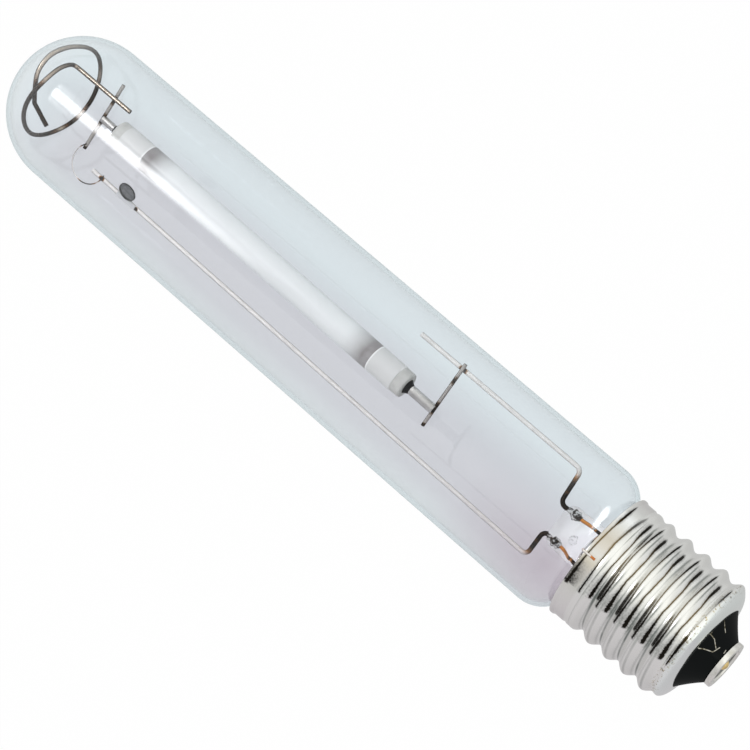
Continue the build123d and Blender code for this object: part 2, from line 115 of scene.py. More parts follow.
WINDOW_PLACE = (-85.0, 64.0)
WINDOW_REACH = (0.20, 0.34)
WINDOW_EDGE = (0.75, 1.1)
WINDOW_TONE = (9.0, 9.0, 9.0)


class Side(Enum):
    """The two ends of the arc tube, as the sign of their place along it."""

    CAP = 1
    DOME = -1


class Shade(Enum):
    """How a finished mesh is shaded, as the largest angle that stays smooth."""

    ROUND = 50.0
    CRISP = 28.0


@dataclass(frozen=True)
class Ring:
    """One section of a turned piece.

    The height is measured from the contact's face towards the dome. The section may be off the
    axis, as on the screw thread, or flattened along Y, as on the press.
    """

    radius: float
    height: float
    shift: tuple[float, float] = (0.0, 0.0)
    flat: float = 1.0

    def centre(self) -> Vector:
        """Middle of the section in the lamp's frame, in metres."""
        return Vector((*self.shift, -self.height)) * MM


def rings_of(*rows: tuple[float, float]) -> list[Ring]:
    """Sections about the axis, given by their radii and heights."""
    return [Ring(*row) for row in rows]


def ease(value: float, start: float = 0.0, end: float = 1.0) -> float:
    """Smooth step from 0 at start to 1 at end."""
    share = min(max((value - start) / (end - start), 0), 1)
    return share * share * (3 - 2 * share)


def clear_selection() -> None:
    """Leaves object mode's selection empty, so that operators act on new pieces only."""
    if bpy.context.object and bpy.context.object.mode != "OBJECT":
        bpy.ops.object.mode_set(mode="OBJECT")
    bpy.ops.object.select_all(action="DESELECT")


def fix_in_mesh() -> None:
    """Moves the active piece's place, turn and scale into its mesh."""
    bpy.ops.object.transform_apply(location=True, rotation=True, scale=True)


def edit_all() -> None:
    """Opens the active piece for editing, with all of it selected."""
    bpy.ops.object.mode_set(mode="EDIT")
    bpy.ops.mesh.select_all(action="SELECT")


def finish_mesh(piece: bpy.types.Object, shade: Shade, merge: float = COARSE_MERGE) -> None:
    """Merges doubled points, turns faces outwards and shades the mesh.

    Args:
        piece: the active mesh object.
        shade: how its edges are shaded.
        merge: distance under which points become one, in metres.
    """
    edit_all()
    bpy.ops.mesh.remove_doubles(threshold=merge)
    bpy.ops.mesh.normals_make_consistent(inside=False)
    bpy.ops.object.mode_set(mode="OBJECT")
    bpy.ops.object.shade_smooth_by_angle(angle=radians(shade.value))
    piece.select_set(False)


def turned_piece(name: str, rings: Sequence[Ring], segments: int, shade: Shade) -> bpy.types.Object:
    """Models a piece as a circle that is extruded and resized from section to section.

    Args:
        name: name of the piece.
        rings: its sections in order. A section of POLE radius closes to a point, and a last
            section equal to the first closes the wall.
        segments: points in each section.
        shade: how its edges are shaded.

    Returns:
        The finished mesh object.
    """
    clear_selection()
    first = rings[0]
    bpy.ops.mesh.primitive_circle_add(
        vertices=segments, radius=first.radius * MM, fill_type="NOTHING", location=first.centre()
    )
    piece = bpy.context.object
    piece.name = piece.data.name = name
    fix_in_mesh()
    edit_all()
    bpy.ops.transform.resize(value=(1, first.flat, 1), center_override=first.centre())
    for before, ring in zip(rings, rings[1:]):
        move = ring.centre() - before.centre()
        wide = ring.radius / before.radius
        deep = wide * ring.flat / before.flat
        bpy.ops.mesh.extrude_region_move(TRANSFORM_OT_translate={"value": move})
        bpy.ops.transform.resize(value=(wide, deep, 1), center_override=ring.centre())
    bpy.ops.object.mode_set(mode="OBJECT")
    finish_mesh(piece, shade)
    return piece


def smooth_route(points: Sequence[Point], steps: int) -> list[Point]:
    """Points of a smooth curve that passes through every point of a row.

    Args:
        points: the row.
        steps: points for each stretch between two of them.

    Returns:
        The finer row.
    """
    row = [Vector(point) for point in points]
    row = [2 * row[0] - row[1], *row, 2 * row[-1] - row[-2]]
    route = []
    for before, start, end, after in zip(row, row[1:], row[2:], row[3:]):
        square = 2 * before - 5 * start + 4 * end - after
        cube = 3 * start - before - 3 * end + after
        for share in (step / steps for step in range(steps)):
            bend = (end - before) * share + square * share**2 + cube * share**3
            route.append(tuple(start + bend / 2))
    return [*route, tuple(row[-2])]


def ragged_knot(name: str, place: Point, size: Point, ragged: float) -> bpy.types.Object:
    """Models a small uneven lump.

    Args:
        name: name of the piece.
        place: its middle.
        size: its half lengths along the three axes.
        ragged: depth of its unevenness.

    Returns:
        The mesh object, still to be joined to another or finished.
    """
    clear_selection()
    middle = Vector(place) * MM
    bpy.ops.mesh.primitive_ico_sphere_add(subdivisions=4, radius=MM, location=middle, scale=size)
    piece = bpy.context.object
    piece.name = piece.data.name = name
    fix_in_mesh()
    cloud = bpy.data.textures.new(name, "CLOUDS")
    cloud.noise_scale = KNOT_GRAIN * MM
    push = piece.modifiers.new("ragged", "DISPLACE")
    push.texture = cloud
    push.texture_coords = "GLOBAL"
    push.strength = ragged * MM
    bpy.ops.object.modifier_apply(modifier=push.name)
    return piece


def join_pieces(main: bpy.types.Object, *others: bpy.types.Object) -> None:
    """Joins further meshes into one piece.

    Args:
        main: the mesh object that stays.
        others: the meshes that become part of it.
    """
    clear_selection()
    for piece in (*others, main):
        piece.select_set(True)
    bpy.context.view_layer.objects.active = main
    bpy.ops.object.join()
    clear_selection()


def settle(piece: bpy.types.Object, place: Point | Vector, turn: Quaternion) -> bpy.types.Object:
    """Turns and moves a piece that is drawn about the origin.

    Args:
        piece: the mesh object.
        place: where its origin goes.
        turn: how it is turned.

    Returns:
        The same object, with its place in its mesh.
    """
    clear_selection()
    piece.select_set(True)
    bpy.context.view_layer.objects.active = piece
    piece.rotation_euler = turn.to_euler()
    piece.location = Vector(place) * MM
    fix_in_mesh()
    return piece


def corner_at(piece: bpy.types.Object, place: Vector) -> None:
    """Selects only the point of a route that lies nearest to a place, in edit mode.

    Args:
        piece: the route's mesh object, in edit mode.
        place: the place, in metres.
    """
    bpy.ops.mesh.select_all(action="DESELECT")
    bpy.ops.object.mode_set(mode="OBJECT")
    nearest = min(piece.data.vertices, key=lambda vertex: (vertex.co - place).length)
    nearest.select = True
    bpy.ops.object.mode_set(mode="EDIT")


def bent_wire(
    name: str, points: Sequence[Point], diameter: float, bends: Optional[dict[int, float]] = None
) -> bpy.types.Object:
    """Models a round wire along a route, with rounded bends and flat ends.

    Args:
        name: name of the piece.
        points: route in the lamp's frame.
        diameter: of the wire.
        bends: radius of the bend at each rounded corner, by the corner's place in the route.

    Returns:
        The finished mesh object.
    """
    clear_selection()
    route = [Vector(point) * MM for point in points]
    bpy.ops.mesh.primitive_plane_add(size=diameter * MM, location=route[0])
    piece = bpy.context.object
    piece.name = name
    fix_in_mesh()
    edit_all()
    bpy.ops.mesh.merge(type="CENTER")
    for before, after in zip(route, route[1:]):
        bpy.ops.mesh.extrude_vertices_move(TRANSFORM_OT_translate={"value": after - before})
    for corner, radius in (bends or {}).items():
        turn = (route[corner] - route[corner - 1]).angle(route[corner + 1] - route[corner])
        corner_at(piece, route[corner])
        bpy.ops.mesh.bevel(offset=radius * MM * tan(turn / 2), segments=BEND_STEPS, affect="VERTICES")
    bpy.ops.object.mode_set(mode="OBJECT")
    bpy.ops.object.convert(target="CURVE")
    piece.data.bevel_depth = diameter / 2 * MM
    piece.data.bevel_resolution = WIRE_ROUNDNESS
    piece.data.use_fill_caps = True
    bpy.ops.object.convert(target="MESH")
    piece.data.name = name
    finish_mesh(piece, Shade.ROUND, FINE_MERGE)
    return piece


def put_on(piece: bpy.types.Object, finish: "Finish") -> None:
    """Gives a piece its only finish."""
    piece.data.materials.clear()
    piece.data.materials.append(finish.material())


def hand_over(piece: bpy.types.Object, finish: "Finish", slot: str, node: str) -> None:
    """Dresses a finished piece and lets it stand for its solid.

    Args:
        piece: the mesh object.
        finish: its surface.
        slot: the record's material slot; not used.
        node: the solid that it replaces.
    """
    put_on(piece, finish)
    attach(piece, BODY)
    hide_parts(node)
    LOG.info("%s stands for %s", piece.name, node)


def dress_solid(node: str, finish: "Finish") -> None:
    """Gives a solid that stays in view its finish."""
    put_on(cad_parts[node], finish)
    LOG.info("%s keeps its solid", node)


def joined(operation: str) -> Callable[["Value", "Number"], "Value"]:
    """A method that joins a value to a number or another value by one operation."""
    return lambda self, other: self.graph.math(operation, self, other)


class Value:
    """A node's output that plain arithmetic can join to numbers and to other values.

    A comparison gives 1 where it holds and 0 elsewhere, and most gives the larger of the two.
    """

    def __init__(self, graph: "Graph", socket: bpy.types.NodeSocket) -> None:
        """Holds an output of one of the graph's nodes."""
        self.graph, self.socket = graph, socket

    __add__ = joined("ADD")
    __sub__ = joined("SUBTRACT")
    __mul__ = joined("MULTIPLY")
    __truediv__ = joined("DIVIDE")
    __gt__ = joined("GREATER_THAN")
    __lt__ = joined("LESS_THAN")
    most = joined("MAXIMUM")

    def __rsub__(self, other: float) -> "Value":
        """What is left of a number when this is taken away."""
        return self.graph.math("SUBTRACT", other, self)

    def __abs__(self) -> "Value":
        """The value without its sign."""
        return self.graph.math("ABSOLUTE", self)

    def fraction(self) -> "Value":
        """What is past the last whole number."""
        return self.graph.math("FRACT", self)

    def spread(
        self, low: "Number", high: "Number", to_low: float, to_high: float, **settings: str
    ) -> "Value":
        """The value moved from one range to another and kept inside it."""
        return self.graph.out("MapRange", dict(enumerate((self, low, high, to_low, to_high))), **settings)


Number = Value | float


class Graph:
    """Short calls that add and join nodes in one node tree."""

    def __init__(self, tree: bpy.types.NodeTree) -> None:
        """Starts on an empty tree."""
        self.tree = tree
        tree.nodes.clear()

    def add(self, kind: str, values: Optional[dict] = None, **settings: object) -> bpy.types.Node:
        """Adds one node.

        Args:
            kind: node type, without the first part that most types share.
            values: input name or place to a number, a colour or another node's output.
            settings: node properties.

        Returns:
            The new node.
        """
        node = self.tree.nodes.new(kind if kind.startswith("NodeGroup") else f"ShaderNode{kind}")
        for name, setting in settings.items():
            setattr(node, name, setting)
        for name, value in (values or {}).items():
            socket = node.inputs[name]
            if isinstance(value, Value):
                self.tree.links.new(value.socket, socket)
            else:
                socket.default_value = (*value, 1) if socket.type == "RGBA" else value
        return node

    def out(
        self, kind: str, values: Optional[dict] = None, output: str | int = 0, **settings: object
    ) -> Value:
        """One output of a new node."""
        return Value(self, self.add(kind, values, **settings).outputs[output])

    def math(self, operation: str, *values: Number) -> Value:
        """Result of a math node on numbers."""
        return self.out("Math", dict(enumerate(values)), operation=operation)

    def vector(self, operation: str, *vectors: Value | Point) -> Value:
        """Result of a math node on vectors, which is a number where the operation measures them."""
        output = "Value" if operation in ("DISTANCE", "DOT_PRODUCT", "LENGTH") else "Vector"
        return self.out("VectorMath", dict(enumerate(vectors)), output, operation=operation)

    def mix(self, share: Number, low: Value | Colour, high: Value | Colour, **settings: str) -> Value:
        """Colour between two colours."""
        return self.out("Mix", {0: share, 6: low, 7: high}, 2, data_type="RGBA", **settings)

    def multiply(self, colour: Value | Colour, other: Value | Colour) -> Value:
        """Colour tinted by another."""
        return self.mix(1.0, colour, other, blend_type="MULTIPLY")

    def ramp(self, value: Value, stops: Stops | Tones) -> Value:
        """Number or colour that changes from stop to stop over a value from 0 to 1.

        Args:
            value: the value.
            stops: places and what is shown there, in order.

        Returns:
            What is shown at the value.
        """
        node = self.add("ValToRGB", {0: value})
        elements = node.color_ramp.elements
        while len(elements) < len(stops):
            elements.new(0.5)
        for element, (place, shown) in zip(elements, stops):
            element.position = place
            element.color = (*shown, 1) if isinstance(shown, tuple) else (shown, shown, shown, 1)
        return Value(self, node.outputs[0])

    def over(self, value: Value, stops: Stops | Tones) -> Value:
        """Number or colour that changes from stop to stop over a value of any range.

        Args:
            value: the value.
            stops: places and what is shown there, in order.

        Returns:
            What is shown at the value.
        """
        start, end = stops[0][0], stops[-1][0]
        part = value.spread(start, end, 0, 1)
        return self.ramp(part, [((at - start) / (end - start), shown) for at, shown in stops])

    def noise(self, place: Value, scale: Number, detail: float) -> Value:
        """Noise over a place."""
        return self.out("TexNoise", {"Vector": place, "Scale": scale, "Detail": detail})

    def place(self) -> Value:
        """Place on the piece in the lamp's frame, in metres."""
        return self.out("TexCoord", output="Object")

    def parts(self, vector: Value) -> list[Value]:
        """The three parts of a vector."""
        return [Value(self, part) for part in self.add("SeparateXYZ", {0: vector}).outputs]

    def ray(self, *names: str) -> list[Value]:
        """What is known of the ray that meets the surface."""
        path = self.add("LightPath").outputs
        return [Value(self, path[name]) for name in names]

    def facing(self) -> Value:
        """0 where the surface faces the ray and 1 where it is seen edge on."""
        return self.out("LayerWeight", {"Blend": 0.5}, "Facing")

    def bump(self, height: Value, strength: float, distance: float = 0.2 * MM) -> Value:
        """Normal of a surface with fine relief."""
        return self.out("Bump", {"Height": height, "Strength": strength, "Distance": distance})

    def group(self, tree: bpy.types.NodeTree, **values: Number | Point) -> Value:
        """Result of a shared effect, with its own values."""
        return self.out("Group", values, node_tree=tree)

    def mottled(self, place: Value, size: float, low: float = 0.35, high: float = 0.7) -> Value:
        """Cloudy unevenness over a place."""
        return self.group(mottle(), Place=place, Size=size, Low=low, High=high)


def shared_effect(result: tuple[str, str] = ("Mask", "Float"), **inputs: float | Point) -> Callable:
    """Makes a shader node group of a function that builds nodes.

    Args:
        result: name and kind of the group's output.
        inputs: name and default value of each of its inputs.

    Returns:
        A decorator. The decorated function gives the group, which it builds on its first use.
    """

    def decorate(build: Callable) -> Callable:
        """Puts the group in the function's place.

        Args:
            build: gets a graph and the group's inputs, and gives its result.

        Returns:
            A function that gives the group.
        """

        @cache
        @wraps(build)
        def group() -> bpy.types.NodeTree:
            """Builds the group.

            Returns:
                The group's node tree.
            """
            tree = bpy.data.node_groups.new(build.__name__, "ShaderNodeTree")
            add_socket = tree.interface.new_socket
            for label, value in inputs.items():
                kind = "NodeSocketVector" if isinstance(value, tuple) else "NodeSocketFloat"
                add_socket(label, in_out="INPUT", socket_type=kind).default_value = value
            add_socket(result[0], in_out="OUTPUT", socket_type=f"NodeSocket{result[1]}")
            graph = Graph(tree)
            given = graph.add("NodeGroupInput").outputs
            graph.add("NodeGroupOutput", {0: build(graph, *(Value(graph, given[label]) for label in inputs))})
            return tree

        return group

    return decorate


@shared_effect(Place=ORIGIN, Size=100.0, Low=0.3, High=0.7)
def mottle(graph: Graph, place: Value, size: Value, low: Value, high: Value) -> Value:
    """Cloudy unevenness from 0 to 1, with its size and contrast as inputs."""
    return graph.noise(place, size, 5.0).spread(low, high, 0, 1, **SMOOTH)


@shared_effect(Place=ORIGIN, Spot=ORIGIN, Reach=0.005, Core=0.5)
def heat(graph: Graph, place: Value, spot: Value, reach: Value, core: Value) -> Value:
    """Mask round a spot that has been hot, 1 at the spot and 0 past its reach.

    Args:
        graph: the group's graph.
        place: place on the piece, in metres.
        spot: the hot spot.
        reach: how far it was hot.
        core: share of the reach where the mask is full.

    Returns:
        The mask, with a ragged edge.
    """
    ragged = graph.noise(place, 450.0, 3.0).spread(0, 1, 0.7, 1.3)
    distance = graph.vector("DISTANCE", place, spot) * ragged
    return distance.spread(reach * core, reach, 1, 0, **SMOOTH)


@shared_effect(Place=ORIGIN, Stretch=(200.0, 200.0, 9000.0))
def scratches(graph: Graph, place: Value, stretch: Value) -> Value:
    """Fine drawn lines along the lamp's turning direction or along its axis."""
    return graph.noise(graph.vector("MULTIPLY", place, stretch), 1.0, 4.0)


@shared_effect(Place=ORIGIN, Start=ORIGIN, End=(0.0, 0.0, 1.0), Width=0.0002)
def hairline(graph: Graph, place: Value, start: Value, end: Value, width: Value) -> Value:
    """Mask of a thin straight line between two places.

    Args:
        graph: the group's graph.
        place: place on the piece, in metres.
        start: one end of the line.
        end: its other end.
        width: half its width.

    Returns:
        The mask.
    """
    run = graph.vector("SUBTRACT", end, start)
    reach = graph.vector("SUBTRACT", place, start)
    share = graph.vector("DOT_PRODUCT", reach, run) / graph.vector("DOT_PRODUCT", run, run)
    foot = graph.out("VectorMath", {0: run, "Scale": share.spread(0, 1, 0, 1)}, operation="SCALE")
    return (graph.vector("DISTANCE", reach, foot) / width).spread(0.3, 1, 1, 0)


@shared_effect(("Colour", "Color"), Direction=(0.0, 0.0, 1.0), Pattern=1.0)
def room(graph: Graph, direction: Value, pattern: Value) -> Value:
    """Colour of the studio's surroundings by direction.

    Bright metal mirrors a pale front and duller walls behind. That pattern is faded in by an input,
    over the plain white surroundings with one window that clear glass mirrors.

    Args:
        graph: the group's graph.
        direction: direction from the lamp.
        pattern: share of the pattern for metal.

    Returns:
        The colour.
    """
    unit = graph.vector("NORMALIZE", direction)
    ahead = graph.out("VectorRotate", {"Vector": unit, "Angle": radians(-ROOM_FRONT)}, rotation_type="Z_AXIS")
    x, y, z = graph.parts(ahead)
    turn = graph.math("DEGREES", graph.math("ARCTAN2", y, x))
    tone = graph.ramp(turn.spread(-180, 180, 0, 1), ROOM_TONE)
    drop = radians(ROOM_BEHIND_RISE)
    behind = graph.vector("DOT_PRODUCT", ahead, (-cos(drop), 0, sin(drop)))
    plain = graph.mix(behind.spread(*ROOM_BEHIND_REACH, 0, 1), ROOM_PLAIN, ROOM_BEHIND)
    plain = graph.mix(behind.spread(*ROOM_AHEAD_REACH, 0, 1), plain, ROOM_AHEAD)
    around, up = (radians(part) for part in WINDOW_PLACE)
    across = (-sin(around), cos(around), 0)
    upwards = (-cos(around) * sin(up), -sin(around) * sin(up), cos(up))
    wide = graph.vector("DOT_PRODUCT", ahead, across) / WINDOW_REACH[0]
    tall = graph.vector("DOT_PRODUCT", ahead, upwards) / WINDOW_REACH[1]
    near = graph.math("SQRT", wide * wide + tall * tall)
    plain = graph.mix(near.spread(*WINDOW_EDGE, 1, 0) * (z > 0), plain, WINDOW_TONE)
    return graph.mix(pattern, plain, tone)


def surroundings(graph: Graph, direction: Value) -> tuple[Value, Value]:
    """What a ray sees of the studio's surroundings.

    Args:
        graph: the graph to build in.
        direction: direction from the lamp to what is seen.

    Returns:
        The colour, and a mask that is 1 for rays from the camera, mirrored or through glass.
    """
    camera, glossy, singular, through = graph.ray(
        "Is Camera Ray", "Is Glossy Ray", "Is Singular Ray", "Is Transmission Ray"
    )
    mirrors, walls = graph.ray("Glossy Depth", "Transmission Depth")
    by_metal = (glossy - singular).most(0).most(walls > 2.5)
    colour = graph.group(room(), Direction=direction, Pattern=by_metal)
    return graph.mix(mirrors > 0.5, WHITE, colour), camera.most(glossy).most(through)


@dataclass(frozen=True)
class Finish:
    """A surface that can be given to pieces. The material is made once."""

    name: str

    def material(self) -> bpy.types.Material:
        """The finish as a material, made on its first use.

        Returns:
            The material.
        """
        if self.name not in MADE:
            made = bpy.data.materials.new(f"{self.name}_finish")
            made.use_nodes = True
            graph = Graph(made.node_tree)
            graph.add("OutputMaterial", {"Surface": self.shade(graph)})
            MADE[self.name] = made
        return MADE[self.name]

    def shade(self, graph: Graph) -> Value:
        """Builds the nodes.

        Args:
            graph: the material's empty graph.

        Returns:
            The shader for the output.
        """
        raise NotImplementedError


@dataclass(frozen=True)
class ClearGlass(Finish):
    """Clear glass with painted shade, faintly blue on one side of the lamp and faintly violet on the other.
    """

    across: Tones = (
        (0.0, (0.84, 0.883, 0.903)),
        (0.22, (0.84, 0.885, 0.905)),
        (0.35, (0.83, 0.858, 0.883)),
        (0.46, (0.803, 0.818, 0.847)),
        (0.60, (0.81, 0.817, 0.846)),
        (0.72, (0.793, 0.80, 0.828)),
        (0.84, (0.78, 0.79, 0.818)),
        (0.93, (0.815, 0.84, 0.86)),
        (1.0, (0.845, 0.885, 0.90)),
    )
    edge: Tones = ((0.05, (0.69, 0.755, 0.74)), (0.95, (0.77, 0.825, 0.835)))
    glass_edge_shade_start: float = 0.82
    dome: Colour = (0.87, 0.922, 0.94)
    dome_start: float = 254.0
    dome_full: float = 268.0
    front_share: float = 0.62
    front_depth: float = 8.0
    side: float = -20.0
    reach: float = 23.0
    cap_shade: Colour = (0.91, 0.86, 0.88)
    cap_shade_start: float = 92.0
    cap_shade_full: float = 60.0
    cap_shade_side: tuple[float, float] = (0.45, 0.75)
    ior: float = 1.5
    unlit: Colour = (0.985, 0.99, 0.99)

    def shade(self, graph: Graph) -> Value:
        """Glass that lets lamps reach what it holds, with painted shade: darker where it is seen edge on.

        Args:
            graph: the material's empty graph.

        Returns:
            The shader for the output.
        """
        place = graph.place()
        along = graph.parts(place)[2]
        cloud = graph.mottled(place, 16.0, 0.2, 0.8)
        turn, scale = radians(self.side), 2 * self.reach * MM
        # Painted shade and reflection: bluish on one side of the lamp, darker violet across it, darkest near
        # the cap.
        side = graph.vector("DOT_PRODUCT", place, (cos(turn) / scale, sin(turn) / scale, 0))
        side = side + cloud.spread(0, 1, 0.47, 0.53)
        near_cap = along.spread(-self.cap_shade_start * MM, -self.cap_shade_full * MM, 0, 1)
        near_cap = near_cap * side.spread(*self.cap_shade_side, 0, 1)
        tint = graph.multiply(graph.ramp(side, self.across), graph.mix(near_cap, WHITE, self.cap_shade))
        # Painted reflection: the dome's tint is paler and bluer.
        in_dome = along.spread(-self.dome_start * MM, -self.dome_full * MM, 0, 1)
        tint = graph.mix(in_dome, tint, self.dome)
        # Painted shade: the tint is lighter on the lamp's front wall and deeper on its far wall.
        front = graph.vector("DOT_PRODUCT", place, (sin(turn), -cos(turn), 0))
        depth = self.front_depth * MM
        side_shade_gamma = front.spread(-depth, depth, 2 - self.front_share, self.front_share)
        tint = graph.out("Gamma", {"Color": tint, "Gamma": side_shade_gamma})
        # Painted shade: darker tint where the glass is seen edge on.
        edge = graph.facing().spread(self.glass_edge_shade_start, 1, 0, 1)
        tint = graph.mix(edge, tint, graph.ramp(side, self.edge))
        glass = graph.out(
            "BsdfPrincipled",
            {"Base Color": tint, "Roughness": 0.0, "IOR": self.ior, "Transmission Weight": 1.0},
        )
        clear = graph.out("BsdfTransparent", {"Color": self.unlit})
        (shadow,) = graph.ray("Is Shadow Ray")
        return graph.out("MixShader", {0: shadow, 1: glass, 2: clear})


@dataclass(frozen=True)
class PressGlass(ClearGlass):
    """Thick clear glass with a painted white glare on its far side, which also glows."""

    glare_white: Colour = (0.96, 0.975, 0.98)
    glare_dull: Colour = (0.80, 0.79, 0.82)
    glare_share: float = 0.85
    glare_glow: float = 0.42
    glare_start: float = 46.0
    glare_rise: float = 3.0
    glare_depth: tuple[float, float] = (0.4, 1.6)

    def shade(self, graph: Graph) -> Value:
        """Clear glass with a painted white glare and glow on its far half.

        Args:
            graph: the material's empty graph.

        Returns:
            The shader for the output.
        """
        glass = super().shade(graph)
        place = graph.place()
        # Painted light: a white glare with a glow of its own over the press's far half, for light caught in
        # thick glass.
        turn = radians(self.side) + pi / 2
        away = graph.vector("DOT_PRODUCT", place, (cos(turn), sin(turn), 0))
        start, full = (depth * MM for depth in self.glare_depth)
        low, high = -self.glare_start * MM, -(self.glare_start + self.glare_rise) * MM
        glare_mask = away.spread(start, full, 0, self.glare_share) * graph.parts(place)[2].spread(low, high, 0, 1)
        folds = graph.mottled(place, 130.0, 0.3)
        glare_white = graph.mix(folds * 0.8, self.glare_white, self.glare_dull)
        glow = {"Emission Color": glare_white, "Emission Strength": self.glare_glow}
        white = graph.out("BsdfPrincipled", {"Base Color": glare_white, "Roughness": 0.6, **glow})
        return graph.out("MixShader", {0: glare_mask, 1: glass, 2: white})


@dataclass(frozen=True)
class Streak:
    """Dark streak on the side of the cap, a painted reflection, given by the angle from its front, in
    degrees.

    Attributes:
        middle: height of its middle at each angle, in millimetres.
        width: half its width.
        shown: its strength.
        turns: whether it is drawn again at each turn of the thread.
        faint: whether it is a grey line and not a black one.
    """

    middle: Stops
    width: Stops
    shown: Stops
    turns: bool = True
    faint: bool = False


# Painted reflections of dark parts of the room, as streaks round the thread; the last three follow grooves.
STREAKS = (
    Streak(
        (
            (-58, 16.1), (-48, 16.2), (-30, 16.4), (-18, 16.5), (-6, 16.3),
            (0, 16.15), (8, 15.8), (18, 15.6), (34, 15.6),
        ),
        (
            (-60, 0.10), (-52, 0.36), (-45, 0.38), (-36, 0.32), (-24, 0.22),
            (-6, 0.22), (12, 0.32), (22, 0.52), (34, 0.40),
        ),
        ((-62, 0.0), (-55, 1.0), (-40, 1.0), (-24, 0.9), (0, 0.9), (14, 1.0), (33.4, 1.0), (35, 0.0)),
    ),
    Streak(
        (
            (-56, 20.1), (-36, 20.0), (-30, 19.8), (-24, 19.6), (-6, 19.6),
            (0, 19.75), (8, 19.6), (18, 19.4), (34, 19.1),
        ),
        (
            (-60, 0.10), (-52, 0.46), (-45, 0.48), (-36, 0.36), (-24, 0.22),
            (0, 0.24), (12, 0.36), (24, 0.66), (30, 0.66), (34, 0.40),
        ),
        ((-60, 0.0), (-54, 1.0), (-40, 1.0), (-24, 0.95), (0, 0.95), (14, 1.0), (32.4, 1.0), (34, 0.0)),
    ),
    Streak(
        ((-52, 15.1), (-24, 14.9), (16, 14.9)),
        ((-52, 0.20), (-30, 0.20), (-18, 0.16), (0, 0.22), (16, 0.26)),
        ((-56, 0.0), (-48, 0.8), (-30, 0.75), (-18, 0.15), (-6, 0.15), (2, 0.8), (12, 0.75), (20, 0.2)),
        faint=True,
    ),
    Streak(
        ((-56, 18.2), (-24, 18.35), (36, 17.9)),
        ((-56, 0.36), (-34, 0.34), (-20, 0.22), (8, 0.25), (20, 0.30), (36, 0.30)),
        (
            (-62, 0.0), (-54, 0.7), (-34, 0.65), (-18, 0.25), (-4, 0.2),
            (8, 0.4), (16, 0.85), (32, 0.85), (40, 0.3),
        ),
        faint=True,
    ),
    Streak(
        ((-60, 44.7), (-40, 44.6), (-20, 44.8), (0, 45.0), (33, 45.0)),
        (
            (-60, 0.10), (-54, 0.22), (-46, 0.42), (-34, 0.42), (-28, 0.20),
            (4, 0.20), (12, 0.34), (20, 0.48), (33, 0.50),
        ),
        ((-62, 0.0), (-56, 1.0), (33, 1.0), (34.5, 0.0)),
        turns=False,
    ),
    Streak(
        ((-56, 40.5), (-46, 40.8), (-40, 41.0), (-16, 41.4), (4, 41.05), (20, 40.8), (34, 40.75)),
        ((-58, 0.14), (-50, 0.50), (-42, 0.46), (-24, 0.30), (0, 0.24), (20, 0.32), (34, 0.36)),
        ((-60, 0.0), (-54, 0.6), (-42, 0.9), (33, 1.0), (34.5, 0.0)),
        turns=False,
    ),
    Streak(
        ((-58, 10.65), (34, 10.65)),
        ((-58, 0.10), (-50, 0.32), (-40, 0.30), (-30, 0.16), (0, 0.20), (4, 0.60), (18, 0.52), (34, 0.24)),
        ((-60, 0.0), (-54, 1.0), (-38, 0.9), (-30, 0.35), (-2, 0.35), (3, 1.0), (33, 1.0), (35, 0.0)),
        turns=False,
    ),
)


